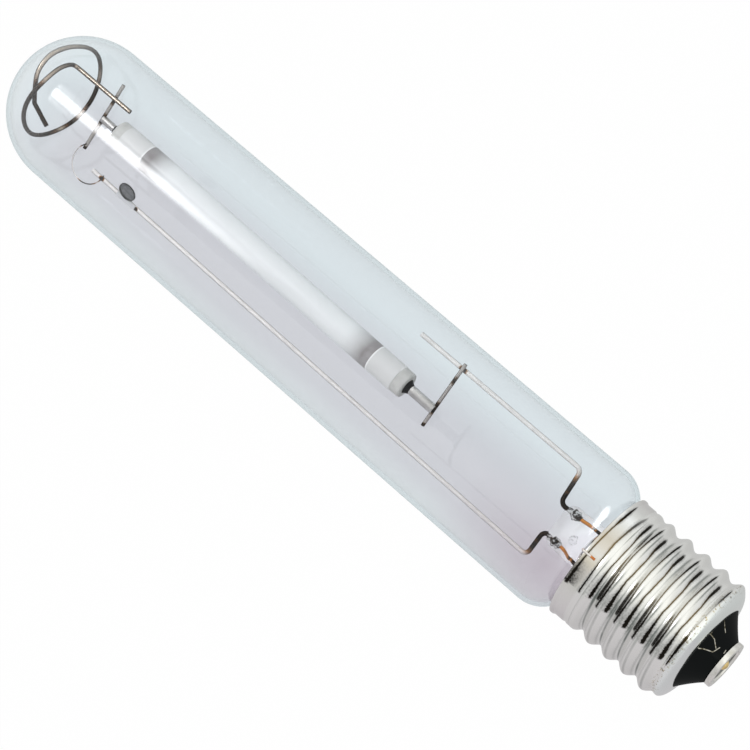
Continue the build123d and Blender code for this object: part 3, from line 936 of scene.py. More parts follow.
@dataclass(frozen=True)
class BrightNickel(Finish):
    """Bright nickel plate with painted reflections as streaks round its thread and patches on its skirt, and
    a worn end.
    """

    colour: Colour = (0.81, 0.812, 0.797)
    # Painted shade and reflection: grey of the thin lines in the thread's roots and of the faint streaks.
    line_shade: Colour = (0.16, 0.18, 0.168)
    # Painted reflection colours of the streaks by angle from the front: near black at both ends, golden brown
    # between.
    reflected_streak_tone: Tones = (
        (-40.0, (0.012, 0.010, 0.007)),
        (-28.0, (0.075, 0.050, 0.018)),
        (-14.0, (0.150, 0.100, 0.032)),
        (0.0, (0.090, 0.065, 0.026)),
        (12.0, (0.014, 0.012, 0.009)),
    )
    # Painted reflection: the skirt's tone by angle from the front, lighter than bare metal near -40 and tan
    # near -16.
    skirt: Tones = (
        (-90.0, (0.80, 0.77, 0.79)),
        (-56.0, (0.92, 0.92, 0.92)),
        (-48.0, (1.01, 1.02, 1.01)),
        (-40.0, (1.16, 1.18, 1.20)),
        (-32.0, (0.98, 0.99, 1.0)),
        (-24.0, (0.84, 0.815, 0.78)),
        (-16.0, (0.69, 0.645, 0.58)),
        (-8.0, (0.75, 0.71, 0.66)),
        (0.0, (0.84, 0.83, 0.82)),
        (8.0, (0.82, 0.765, 0.68)),
        (16.0, (0.90, 0.86, 0.82)),
        (40.0, (0.94, 0.94, 0.93)),
        (64.0, (0.94, 0.92, 0.94)),
        (90.0, (0.80, 0.77, 0.79)),
    )
    # Painted reflection: the end bead's lighter, cooler tone.
    bead: Colour = (0.85, 0.89, 0.885)
    gold: Colour = (0.62, 0.52, 0.30)
    # Painted reflection of a dark wall: a black patch on the skirt under the rim.
    reflected_black: Colour = (0.03, 0.028, 0.026)
    pitch: float = 6.35
    crest_height: float = 16.7
    crest_direction: float = 160.0
    # Painted shade lines along the thread, as phase of a turn and strength.
    lines: Stops = ((0.44, 0.95), (0.94, 0.45))
    line_width: float = 0.5
    line_start: float = 14.0
    line_fade: float = 12.0
    thread_from: float = 12.2
    thread_to: float = 39.6
    run_out: float = 0.8
    run_out_start: float = 3.8
    run_out_end: float = 1.4
    ragged: Stops = ((0, 0.10), (14, 0.22))
    skirt_from: float = 41.3
    skirt_fade: float = 0.3
    reflection_from: float = 7.0
    reflection_full: float = 25.0
    reflection_to: float = 33.0
    reflection_top: float = 45.2
    bead_height: float = 9.9
    bead_fade: float = 0.4
    worn_height: float = 10.3
    worn_reach: float = 1.7

    def repeat(self, turns: Value) -> Value:
        """Distance in millimetres from the nearest of marks that lie one turn apart."""
        return abs((turns + 0.5).fraction() - 0.5) * self.pitch

    def streak(self, row: Streak, height: Value, front: Value, back: Value, grain: Value) -> Value:
        """Mask of one painted reflection streak with a ragged edge.

        Args:
            row: the streak.
            height: distance from the end of the lamp, in millimetres.
            front: angle from the nearest front.
            back: 1 on the far half of the cap, where the thread is half a turn on.
            grain: fine noise.

        Returns:
            Strength of the streak at each place.
        """
        over = height.graph.over
        middle = over(front, row.middle)
        if row.turns:
            start, end = self.thread_to - self.run_out_start, self.thread_to - self.run_out_end
            late = height.spread(start, end, 0, self.run_out)
            off = self.repeat(back * 0.5 + (height + late - middle) / self.pitch)
        else:
            off = abs(height - middle)
        ragged = over(front, self.ragged) * grain.spread(0, 1, -1, 1) + 1
        share = off / (over(front, row.width) * ragged)
        halo = share.spread(0.7, 2.4, 0.5, 0) * grain.spread(0, 1, 0.7, 1)
        mask = share.spread(0.6, 1.15, 1, 0).most(halo) * over(front, row.shown)
        if row.turns:
            mask = mask * ((height > self.thread_from) * (height < self.thread_to))
        return mask

    def rising_lines(self, colour: Value, height: Value, angle: Value, shown: Value) -> Value:
        """Draws the thin painted shade lines that follow the thread.

        Args:
            colour: the metal without them.
            height: distance from the end of the lamp, in millimetres.
            angle: angle round the lamp's axis.
            shown: their strength.

        Returns:
            The metal with them.
        """
        turns = height * (1 / self.pitch) + angle / 360
        for phase, strength in self.lines:
            start = phase + self.crest_height / self.pitch + self.crest_direction / 360
            drawn = self.repeat(turns - start).spread(0.25 * self.line_width, self.line_width, strength, 0)
            colour = colour.graph.mix(drawn * shown, colour, self.line_shade)
        return colour

    def shade(self, graph: Graph) -> Value:
        """Metal with uneven gloss.

        Args:
            graph: the material's empty graph.

        Returns:
            The shader for the output.
        """
        place = graph.place()
        x, y, z = graph.parts(place)
        cloud = graph.mottled(place, 160.0)
        grain = graph.mottled(place, 1700.0, 0.35, 0.65)
        specks = graph.mottled(place, 1500.0, 0.56, 0.62)
        height = z * (-1 / MM)
        angle = graph.math("DEGREES", graph.math("ARCTAN2", y, x))
        around = ((angle - (ROOM_FRONT - 90)) / 360).fraction()
        back = around > 0.5
        front = (around * 2).fraction() * 180 - 90
        # Painted reflection: tones round the skirt by angle from the front, and a lighter, cooler end bead.
        on_skirt = height.spread(self.skirt_from - self.skirt_fade, self.skirt_from + self.skirt_fade, 0, 1)
        skirt = graph.mix(on_skirt, WHITE, graph.over(front, self.skirt))
        on_bead = height.spread(self.bead_height - self.bead_fade, self.bead_height + self.bead_fade, 1, 0)
        colour = graph.mix(on_bead, graph.multiply(self.colour, skirt), self.bead)
        # Painted shade: thin grey lines along the thread on one side.
        threaded = (height > self.thread_from - 1) * (height < self.thread_to - 2)
        lined = front.spread(self.line_start, self.line_start + self.line_fade, 0, 1)
        colour = self.rising_lines(colour, height, angle, threaded * lined * cloud.spread(0, 1, 1, 0.6))
        # Painted reflection: a black patch on the skirt under the rim, from about 7 to 33 degrees past the
        # front.
        black_reflection = front.spread(self.reflection_from, self.reflection_full, 0, 1)
        black_reflection = black_reflection * front.spread(self.reflection_to - 1.5, self.reflection_to, 1, 0)
        high = height.spread(self.skirt_from + 0.5, self.reflection_top - 1.2, 0, 1)
        black_reflection = black_reflection * (high * grain.spread(0, 1, 0.5, 1))
        colour = graph.mix(black_reflection, colour, self.reflected_black)
        # Worn specks round the end bead, dark to gold; their dark is the streaks' painted reflection colour.
        worn = abs(height - self.worn_height).spread(0, self.worn_reach, 1, 0) * specks
        dark = graph.over(front, self.reflected_streak_tone)
        colour = graph.mix(worn, colour, graph.mix(grain, dark, self.gold))
        dull = worn.most(black_reflection)
        # Painted reflections: dark streaks round the thread, grey where they are faint.
        for row in STREAKS:
            mask = self.streak(row, height, front, back, grain)
            colour = graph.mix(mask, colour, self.line_shade if row.faint else dark)
            dull = dull.most(mask * 0.5)
        rough = dull * 0.4 + (cloud * 0.04 + 0.09)
        return graph.out("BsdfPrincipled", {"Base Color": colour, "Metallic": 1.0, "Roughness": rough})


@dataclass(frozen=True)
class BlackGlass(Finish):
    """Glossy black glass with a few painted highlights as pale crack-like lines."""

    colour: Colour = (0.004, 0.005, 0.005)
    line_colour: Colour = (0.62, 0.60, 0.52)
    line_second: Colour = (0.30, 0.24, 0.08)
    line_width: float = 0.19
    highlight_lines: tuple[tuple[Point, ...], ...] = (
        ((-3.4, -12.8, -7.2), (-3.7, -11.3, -6.1), (-3.8, -8.8, -4.1), (-5.4, -7.2, -3.6)),
        ((-11.9, -6.3, -7.2), (-10.4, -5.9, -6.1), (-9.1, -5.5, -5.1)),
        ((-9.1, -10.1, -7.4), (-7.9, -10.8, -7.2), (-7.0, -9.2, -5.8), (-4.9, -8.2, -4.1)),
        ((-4.5, -5.8, -2.0), (-5.3, -5.3, -2.1)),
        ((9.0, 8.2, -6.2), (7.4, 7.0, -4.8), (7.9, 5.2, -4.2)),
    )

    def shade(self, graph: Graph) -> Value:
        """Black gloss with its painted highlight lines.

        Args:
            graph: the material's empty graph.

        Returns:
            The shader for the output.
        """
        place = graph.place()
        cloud = graph.mottled(place, 90.0, 0.3, 0.8)
        ragged = graph.mottled(place, 900.0, 0.3, 0.6)
        width = self.line_width * MM
        # Painted highlights: pale crack-like lines on the black glass.
        lines = [
            graph.group(hairline(), Place=place, Start=Vector(start) * MM, End=Vector(end) * MM, Width=width)
            for row in self.highlight_lines
            for start, end in zip(row, row[1:])
        ]
        shown = reduce(Value.most, lines) * ragged.spread(0, 1, 0.15, 1)
        tone = graph.mix(ragged, self.line_second, self.line_colour)
        return graph.out(
            "BsdfPrincipled",
            {
                "Base Color": graph.mix(shown, self.colour, tone),
                "Roughness": cloud * 0.05 + 0.05,
                "Specular IOR Level": 0.0,
                "Coat Weight": 0.12,
                "Coat Roughness": 0.06,
                "Normal": graph.bump(cloud, 0.12, 0.6 * MM),
            },
        )


@dataclass(frozen=True)
class HotSpot:
    """A place on a wire that has been hot, in millimetres."""

    spot: Point
    reach: float
    core: float = 0.5


@dataclass(frozen=True)
class WireMetal(Finish):
    """Drawn wire, darkened where it has been hot and bright where melted to a knot, with painted edge shade.
    """

    colour: Colour = (0.97, 0.93, 0.91)
    tint: Colour = (0.42, 0.20, 0.07)
    core_tint: Colour = (0.035, 0.022, 0.014)
    knot_colour: Colour = (0.97, 0.97, 0.97)
    spots: tuple[HotSpot, ...] = ()
    knots: tuple[HotSpot, ...] = ()
    rough: float = 0.42
    metallic: float = 1.0
    edge_shade_share: float = 0.55
    edge_shade_start: float = 0.3
    edge_shade_fade: float = 0.5
    relief: float = 0.08
    knot_relief: float = 0.5

    @staticmethod
    def mask(place: Value, spots: Sequence[HotSpot]) -> Value:
        """Largest of the spots' masks at each place.

        Args:
            place: place on the wire, in metres.
            spots: where it has been hot or melted.

        Returns:
            The mask.
        """
        group = place.graph.group
        return reduce(
            Value.most,
            [
                group(heat(), Place=place, Spot=Vector(hot.spot) * MM, Reach=hot.reach * MM, Core=hot.core)
                for hot in spots
            ],
        )

    def shade(self, graph: Graph) -> Value:
        """Metal with brown rims round its black hot spots, and painted shade where it is seen edge on.

        Args:
            graph: the material's empty graph.

        Returns:
            The shader for the output.
        """
        place = graph.place()
        cloud = graph.mottled(place, 330.0, 0.3, 0.75)
        colour = graph.mix(cloud * 0.3, self.colour, tuple(0.7 * part for part in self.colour))
        rough = cloud * 0.12 + self.rough
        relief = graph.group(scratches(), Place=place, Stretch=(9000, 9000, 300))
        metallic = self.metallic
        if self.spots:
            hot = self.mask(place, self.spots)
            metallic = hot.spread(0, 0.4, self.metallic, 1)
            rough = hot * 0.25 + rough
            colour = graph.mix(hot.spread(0.05, 0.5, 0, 1), colour, self.tint)
            colour = graph.mix(hot.spread(0.45, 0.95, 0, 1), colour, self.core_tint)
        if self.knots:
            knot = self.mask(place, self.knots).spread(0.1, 0.4, 0, 1)
            folds = graph.mottled(place, 950.0, 0.47, 0.56)
            colour = graph.mix(knot, colour, graph.mix(folds, self.core_tint, self.knot_colour))
            metallic = (knot * folds * -0.9 + 1) * metallic
            rough = rough * knot.spread(0, 1, 1, 0.25)
            relief = folds * knot * 6.0 + relief
        # Painted shade: the wire turns towards its dark core tint where it is seen edge on.
        rim = graph.facing().spread(self.edge_shade_start, self.edge_shade_start + self.edge_shade_fade, 0, self.edge_shade_share)
        return graph.out(
            "BsdfPrincipled",
            {
                "Base Color": graph.mix(rim, colour, self.core_tint),
                "Metallic": metallic,
                "Roughness": rough,
                "Normal": graph.bump(relief, self.knot_relief if self.knots else self.relief, 0.1 * MM),
            },
        )


@dataclass(frozen=True)
class Powder(Finish):
    """Matte pressed powder, cement or sealing glass, in two tones."""

    colour: Colour
    second: Colour
    rough: float = 0.8
    size: float = 900.0
    specular: float = 0.5
    metallic: float = 0.0
    rough_change: float = 0.1
    relief: float = 0.3

    def shade(self, graph: Graph) -> Value:
        """Surface between two tones with a grain.

        Args:
            graph: the material's empty graph.

        Returns:
            The shader for the output.
        """
        cloud = graph.mottled(graph.place(), self.size)
        return graph.out(
            "BsdfPrincipled",
            {
                "Base Color": graph.mix(cloud, self.colour, self.second),
                "Metallic": self.metallic,
                "Roughness": cloud * self.rough_change + self.rough,
                "Specular IOR Level": self.specular,
                "Normal": graph.bump(cloud, self.relief),
            },
        )


@dataclass(frozen=True)
class PlainMetal(Powder):
    """Metal with an uneven tone."""

    rough: float = 0.3
    size: float = 400.0
    metallic: float = 1.0
    rough_change: float = 0.15
    relief: float = 0.1


@dataclass(frozen=True)
class DishedMetal(Finish):
    """Contact metal that is painted dull and greenish dark inside its dish, as shade in the recess."""

    colour: Colour = (0.82, 0.81, 0.78)
    second: Colour = (0.55, 0.54, 0.50)
    dish: Colour = (0.05, 0.055, 0.04)
    reach: float = 4.5
    fade: float = 0.3

    def shade(self, graph: Graph) -> Value:
        """Bright rim round a dish painted dark as shade.

        Args:
            graph: the material's empty graph.

        Returns:
            The shader for the output.
        """
        place = graph.place()
        cloud = graph.mottled(place, 520.0)
        radius = graph.vector("LENGTH", graph.vector("MULTIPLY", place, (1, 1, 0)))
        # Painted shade: the dish inside the rim is dark and greenish.
        inside = radius.spread((self.reach - self.fade) * MM, self.reach * MM, 1, 0)
        inside = inside * cloud.spread(0, 1, 1, 0.7)
        colour = graph.mix(cloud * 0.6, self.colour, self.second)
        return graph.out(
            "BsdfPrincipled",
            {
                "Base Color": graph.mix(inside, colour, self.dish),
                "Metallic": 1.0,
                "Roughness": inside * 0.3 + 0.14,
                "Normal": graph.bump(cloud, 0.08),
            },
        )


@dataclass(frozen=True)
class Alumina(Finish):
    """Translucent white ceramic with a grey deposit in from each plug, and a faint painted glow."""

    colour: Colour = (0.88, 0.90, 0.90)
    deposit: Colour = (0.275, 0.253, 0.253)
    plug_zone: Colour = (0.75, 0.75, 0.74)
    plug_line: Colour = (0.95, 0.95, 0.94)
    plug_line_width: float = 0.22
    glow: float = 0.12
    half_length: float = 55.6
    plug_depth: float = 9.2
    fade: float = 11.0
    middle: Point = (-1.95, 0.0, -177.3)
    lean: float = 0.68

    def shade(self, graph: Graph) -> Value:
        """Soft white with bands along the tube, and a faint painted glow.

        Args:
            graph: the material's empty graph.

        Returns:
            The shader for the output.
        """
        place = graph.place()
        tube = {"Location": Vector(self.middle) * MM, "Rotation": (0, radians(self.lean), 0)}
        local = graph.out("Mapping", {"Vector": place, **tube}, vector_type="TEXTURE")
        far = abs(graph.parts(local)[2])
        plug = (self.half_length - self.plug_depth) * MM
        cloud = graph.mottled(place, 260.0, 0.25, 0.75)
        band = far.spread(plug - self.fade * MM, plug - 0.25 * self.fade * MM, 0, 1)
        band = graph.math("POWER", band, 1.6) * cloud.spread(0, 1, 0.8, 1)
        colour = graph.mix(band, self.colour, self.deposit)
        colour = graph.mix(far > plug, colour, self.plug_zone)
        line = graph.math("COMPARE", far, plug, self.plug_line_width * MM)
        colour = graph.mix(line, colour, self.plug_line)
        return graph.out(
            "BsdfPrincipled",
            {
                "Base Color": colour,
                # Painted light: the ceramic glows faintly, standing in for light that passes through it.
                "Emission Color": colour,
                "Emission Strength": self.glow,
                "Roughness": cloud * 0.08 + 0.36,
                "Coat Weight": 0.1,
                "Coat Roughness": 0.12,
            },
        )


@dataclass(frozen=True)
class PaleFloor(Finish):
    """White floor that still takes the lamp's shadow."""

    colour: Colour = (0.9, 0.9, 0.9)
    glow_share: float = 0.96
    lamp_middle: float = -0.13

    def shade(self, graph: Graph) -> Value:
        """Matt white, mostly lit from itself where it is the background.

        Args:
            graph: the material's empty graph.

        Returns:
            The shader for the output.
        """
        matt = graph.out("BsdfDiffuse", {"Color": self.colour})
        from_lamp = graph.vector("SUBTRACT", graph.place(), (0, 0, self.lamp_middle))
        shown, seen = surroundings(graph, from_lamp)
        glow = graph.out("Emission", {"Color": shown, "Strength": 1.0})
        return graph.out("MixShader", {0: seen * self.glow_share, 1: matt, 2: glow})


GLASS = ClearGlass("clear_glass")
# Stem glass: a near-even tint with painted shade at its edges, and the painted glare of PressGlass.
STEM_GLASS = PressGlass(
    "stem_glass",
    across=((0.0, (0.97, 0.98, 0.985)), (1.0, (0.98, 0.983, 0.987))),
    edge=((0.0, (0.90, 0.92, 0.93)), (1.0, (0.90, 0.92, 0.93))),
    cap_shade=(0.99, 0.98, 0.99),
    front_share=1.0,
    ior=1.25,
)


@dataclass
class Envelope:
    """Glass envelope: dome, straight tube, shoulder and the neck that goes into the cap."""

    length: float = 272.0
    radius: float = 23.0
    wall: float = 1.2
    straight: tuple[float, ...] = (200.0, 150.0, 100.0)
    shoulder_radius: float = 10.0
    shoulder_turn: float = 50.0
    shoulder_height: float = 55.303
    shoulder_steps: int = 14
    neck_radius: float = 16.5
    neck_soft: float = 0.05
    neck_end: float = 24.0
    segments: int = 160

    def outline(self, inset: float) -> list[Ring]:
        """Sections of one face of the wall, from the dome's tip to the neck's end.

        Args:
            inset: depth of the face inside the outer one.

        Returns:
            The face's sections.
        """
        radius, curve, neck = self.radius - inset, self.shoulder_radius - inset, self.neck_radius - inset
        middle = self.length - self.radius
        rings = [Ring(POLE, middle + radius)]
        for turn in (radians(angle) for angle in (1, 2, *range(4, 90, 3), 90)):
            rings.append(Ring(radius * sin(turn), middle + radius * cos(turn)))
        rings += [Ring(radius, height) for height in self.straight]
        for step in range(self.shoulder_steps + 1):
            turn = radians(self.shoulder_turn * step / self.shoulder_steps)
            rings.append(Ring(radius - curve * (1 - cos(turn)), self.shoulder_height - curve * sin(turn)))
        slope, soft = tan(radians(self.shoulder_turn)), self.neck_soft
        start = rings[-1].height - (rings[-1].radius - neck) / slope
        rings.append(Ring(neck + soft, start + soft / slope))
        return rings + rings_of((neck, start - 0.4), (neck, self.neck_end))

    def build(self) -> None:
        """Models the closed wall and dresses it."""
        rings = [*self.outline(0), *reversed(self.outline(self.wall))]
        piece = turned_piece("bulb_glass", rings, self.segments, Shade.ROUND)
        hand_over(piece, GLASS, "clear_glass", "outer_bulb")


@dataclass
class Stem:
    """Glass stem: flare, tube, flat press and exhaust tube, with the wires sealed in it."""

    neck_radius: float = 16.5
    neck_end: float = 24.0
    wall: float = 1.2
    tube_radius: float = 7.0
    flare_length: float = 8.8
    press_base: float = 49.6
    press_top: float = 60.6
    press_flat: float = 0.5
    press_taper: float = 6.0
    press_round: float = 2.6
    press_steps: int = 8
    square_start: float = 1.5
    square_rise: float = 4.0
    square_deep: float = 0.85
    square_wide: float = 0.25
    foot_x: float = 4.6
    foot_height: float = 55.6
    seal_start: float = 44.0
    seal_diameter: float = 0.9
    seal_wave: tuple[Point, ...] = ((0.12, 0.1, -50.0), (-0.08, -0.05, -53.0))
    seal_bend: float = 3.0
    seal_hot: float = 50.2
    exhaust_radius: float = 2.2
    exhaust_bore: float = 1.4
    exhaust_tip: float = 28.0
    outlet_place: Point = (0.0, -3.2, -53.0)
    outlet_size: Point = (1.5, 0.5, 1.5)
    outlet_ragged: float = 0.9

    def glass_rings(self) -> list[Ring]:
        """Sections of the glass, down its outside from the press and back up its bore.

        Returns:
            The sections.
        """
        flat, tube, base = self.press_flat, self.tube_radius, self.press_base
        shares = [step / self.press_steps for step in range(self.press_steps + 1)]
        rings = [Ring(POLE, self.press_top, flat=flat)]
        for turn in (radians(90 * share) for share in shares):
            radius = tube - self.press_round * (1 - sin(turn))
            rings.append(Ring(radius, self.press_top - self.press_round * (1 - cos(turn)), flat=flat))
        for share in shares:
            height = base + self.press_taper * (1 - share)
            rings.append(Ring(tube, height, flat=flat + (1 - flat) * ease(share)))
        flare_top, lip = self.neck_end + self.flare_length, self.neck_end - self.wall
        edge, bore = self.neck_radius - self.wall, tube - self.wall
        return rings + rings_of(
            (tube, flare_top),
            (edge, self.neck_end),
            (self.neck_radius, self.neck_end),
            (self.neck_radius, lip),
            (edge, lip),
            (bore, flare_top),
            (bore, base - 2),
            (bore - 1.2, base),
            (bore - 3.2, base + 0.8),
            (POLE, base + 1.0),
        )

    def square_press(self, piece: bpy.types.Object) -> None:
        """Swells the press's oval section towards a rounded rectangle.

        Args:
            piece: the stem's mesh object.
        """
        start = self.press_base + self.square_start
        for vertex in piece.data.vertices:
            height = -vertex.co.z / MM
            across, deep = vertex.co.x / self.tube_radius, vertex.co.y / self.tube_radius / self.press_flat
            if height > start and sqrt(across**2 + deep**2) > 1e-6:
                angle = atan2(deep, across)
                square = (abs(cos(angle)) ** 4 + abs(sin(angle)) ** 4) ** -0.25
                share = min((height - start) / self.square_rise, 1) * (square - 1) * self.square_deep
                vertex.co.x *= 1 + share * self.square_wide
                vertex.co.y *= 1 + share

    def build(self) -> None:
        """Models the glass and the two coppered wires in it."""
        glass = turned_piece("stem_glass", self.glass_rings(), 96, Shade.ROUND)
        self.square_press(glass)
        tip, radius, bore = self.exhaust_tip, self.exhaust_radius, self.exhaust_bore
        rings = rings_of(
            (POLE, tip),
            (radius, tip + 1.6),
            (radius, self.press_base),
            (bore, self.press_base),
            (bore, tip + 2.2),
            (POLE, tip + 1.4),
        )
        exhaust = turned_piece("exhaust_tube", rings, 40, Shade.CRISP)
        outlet = ragged_knot("outlet_wrinkle", self.outlet_place, self.outlet_size, self.outlet_ragged)
        join_pieces(glass, exhaust, outlet)
        hand_over(glass, STEM_GLASS, "stem_glass", "stem")
        hot = tuple(HotSpot((side * self.foot_x, 0, -self.seal_hot), 1.5, 0.4) for side in (1, -1))
        copper = WireMetal("copper_coat", colour=(0.84, 0.33, 0.075), spots=hot, rough=0.25, edge_shade_share=0.75)
        for name, x in (("long_seal_wire", self.foot_x), ("short_seal_wire", -self.foot_x)):
            wave = [(x + off, y, z) for off, y, z in self.seal_wave]
            route = [(x, 0, -self.seal_start), *wave, (x, 0, -self.foot_height)]
            bends = {1: self.seal_bend, 2: self.seal_bend}
            wire = bent_wire(f"{name}_copper", route, self.seal_diameter, bends)
            hand_over(wire, copper, "copper_wire", name)


@dataclass
class Wires:
    """Support wires, cross wires, expansion wire and the springy ring in the dome."""

    lead_diameter: float = 1.4
    lead_metallic: float = 0.25
    lead_bend: float = 1.9
    foot_x: float = 4.6
    foot_height: float = 55.6
    long_bend: float = 62.2
    long_reach: float = 13.7
    long_reach_at_dome: float = 11.7
    long_end: float = 236.595
    short_bend: float = 63.2
    short_rise: float = 1.0
    short_reach: float = 15.4
    short_y: float = 1.275
    short_end: float = 124.205
    knot_height: float = 57.5
    knot_size: Point = (1.2, 1.1, 1.9)
    knot_ragged: float = 0.9
    knot_reach: float = 2.6
    cross_diameter: float = 1.15
    cap_cross: float = 108.205
    dome_cross: float = 242.795
    cap_cross_ends: tuple[float, float] = (-17.3, 4.6)
    dome_cross_ends: tuple[float, float] = (-14.8, 8.2)
    cap_weld: float = -2.0
    dome_weld: float = -2.6
    expansion_diameter: float = 0.36
    expansion_radius: float = 6.0
    expansion_centre: tuple[float, float] = (10.6, 238.3)
    expansion_turn: tuple[float, float] = (92.0, -227.0)
    expansion_steps: int = 48
    ring_diameter: float = 1.35
    ring_radius: float = 15.585
    ring_middle: tuple[float, float] = (-0.705, 0.257)
    ring_front: float = -110.0
    ring_tip: float = 272.0
    ring_leg: Point = (-10.2, -1.25, -235.795)
    ring_leg_top: float = -259.7
    ring_bends: tuple[Point, ...] = (
        (-40, 13.1, 4.3), (-20, 13.4, 2.4), (0, 13.7, 0.8), (20, 13.3, 0), (40, 12.8, 0), (60, 13.0, 0),
        (80, 13.4, 0), (100, 13.6, 0), (120, 13.8, 0), (140, 14.2, 0), (160, 14.8, 0), (180, 15.0, 0),
        (200, 14.7, 0), (220, 14.0, 0), (240, 13.3, 0), (260, 12.6, 0), (280, 12.1, 0), (300, 11.5, 0),
        (320, 10.4, 0), (340, 9.75, 0), (360, 10.1, 0.9), (377, 11.9, 1.6), (394, 14.2, 1.6),
    )
    ring_tail: Point = (408, 21.1, 1.4)
    ring_steps: int = 4
    ring_hot: tuple[Point, ...] = (
        (20, 5.5, 0.3), (60, 9.0, 0.3), (120, 7.5, 0.05), (160, 4.5, 0.05), (200, 7.5, 0.3),
        (260, 8.5, 0.1), (394, 6.0, 0.8),
    )

    def lead(self, name: str, route: Sequence[Point], *spots: HotSpot) -> None:
        """Models one stiff wire and the ragged knot where it is melted to its seal wire.

        Args:
            name: the wire's node.
            route: its middle line, from the press on.
            spots: where it has been hot.
        """
        knot = (route[0][0], 0, -self.knot_height)
        knots = (HotSpot(knot, self.knot_reach, 0.85),)
        finish = WireMetal(f"{name}_metal", spots=spots, knots=knots, metallic=self.lead_metallic)
        wire = bent_wire(f"{name}_wire", route, self.lead_diameter, {1: self.lead_bend, 2: self.lead_bend})
        join_pieces(wire, ragged_knot(f"{name}_knot", knot, self.knot_size, self.knot_ragged))
        hand_over(wire, finish, "support_wire", name)

    def leads(self) -> None:
        """The two stiff wires out of the press."""
        x, foot, bend, far = self.foot_x, self.foot_height, self.long_bend, self.long_reach_at_dome
        self.lead(
            "long_lead",
            [(x, 0, -foot), (x, 0, -bend), (self.long_reach, 0, -bend), (far, 0, -self.long_end)],
            HotSpot((x, 0, -bend), 7.0, 0.35),
            HotSpot((x + 5.0, 0, -bend), 5.0, 0.1),
            HotSpot((far, -0.9, -232.6), 1.3, 0.3),
            HotSpot((far + 0.2, -0.9, -218.0), 0.9, 0.5),
        )
        x, bend, far, y = -self.foot_x, self.short_bend, -self.short_reach, self.short_y
        self.lead(
            "short_lead",
            [(x, 0, -foot), (x, 0, -bend), (far, y, -bend - self.short_rise), (far, y, -self.short_end)],
            HotSpot((x, 0, -bend), 7.0, 0.35),
            HotSpot((x - 5.5, 0.5, -bend - 0.4), 5.5, 0.1),
            HotSpot((far, 0.6, -self.cap_cross), 1.8, 0.3),
        )

    def cross_wires(self) -> None:
        """The straight wires across the two ends of the arc tube."""
        dull = {"colour": (0.62, 0.58, 0.55), "tint": (0.20, 0.13, 0.08), "rough": 0.3, "edge_shade_share": 0.8}
        for name, (low, high), height, weld in (
            ("cap_end_cross_wire", self.cap_cross_ends, self.cap_cross, self.cap_weld),
            ("dome_end_cross_wire", self.dome_cross_ends, self.dome_cross, self.dome_weld),
        ):
            hot = tuple(
                HotSpot((x, 0, -height), reach, core)
                for x, reach, core in ((low + 5.5, 2.0, 0.2), (weld, 3.0, 0.35), (high, 1.5, 0.5))
            )
            rod = bent_wire(f"{name}_rod", [(low, 0, -height), (high, 0, -height)], self.cross_diameter)
            hand_over(rod, WireMetal(f"{name}_metal", spots=hot, **dull), "support_wire", name)

    def expansion_wire(self) -> None:
        """The thin curved wire that takes up the arc tube's growth."""
        start, sweep = self.expansion_turn
        x, height = self.expansion_centre
        front, reach = -(self.lead_diameter + self.expansion_diameter) / 2, self.expansion_radius
        route = []
        for step in range(self.expansion_steps + 1):
            turn = radians(start + sweep * step / self.expansion_steps)
            route.append((x + reach * cos(turn), front, reach * sin(turn) - height))
        hot = (HotSpot(route[0], 3.5, 0.3), HotSpot(route[-1], 2.6, 0.5), HotSpot(route[14], 4.5, 0.2))
        wire = bent_wire("expansion_curve", route, self.expansion_diameter)
        hand_over(wire, WireMetal("expansion_metal", spots=hot), "support_wire", "expansion_wire")

    def ring_point(self, angle: float, below_tip: float, inset: float) -> Point:
        """Point on the dome ring's middle line.

        Args:
            angle: degrees on from its front.
            below_tip: distance from the dome's tip, along the axis.
            inset: how far inside its own circle it runs there.

        Returns:
            The point.
        """
        turn = radians(self.ring_front + angle)
        radius = self.ring_radius - inset
        x, y = self.ring_middle
        return (x + radius * cos(turn), y + radius * sin(turn), below_tip - self.ring_tip)

    def dome_ring(self) -> None:
        """The ring: a straight leg, one open turn and a short tail."""
        corner = (*self.ring_leg[:2], self.ring_leg_top)
        at = {bend[0]: self.ring_point(*bend) for bend in self.ring_bends}
        turn = smooth_route([corner, *at.values()], self.ring_steps)
        route = [self.ring_leg, corner, *turn[self.ring_steps :], self.ring_point(*self.ring_tail)]
        hot = [HotSpot(at[angle], reach, core) for angle, reach, core in self.ring_hot]
        # The ring has strong painted shade where it is seen edge on.
        finish = WireMetal(
            "ring_metal",
            colour=(0.56, 0.46, 0.38),
            tint=(0.16, 0.08, 0.04),
            spots=(*hot, HotSpot(route[-1], 8.0, 0.9)),
            rough=0.12,
            edge_shade_share=0.97,
            edge_shade_start=0.03,
        )
        wire = bent_wire("dome_ring_wire", route, self.ring_diameter, {1: 1.5, len(route) - 2: 1.2})
        hand_over(wire, finish, "ring_wire", "dome_ring")

    def build(self) -> None:
        """Models every wire."""
        self.leads()
        self.cross_wires()
        self.expansion_wire()
        self.dome_ring()


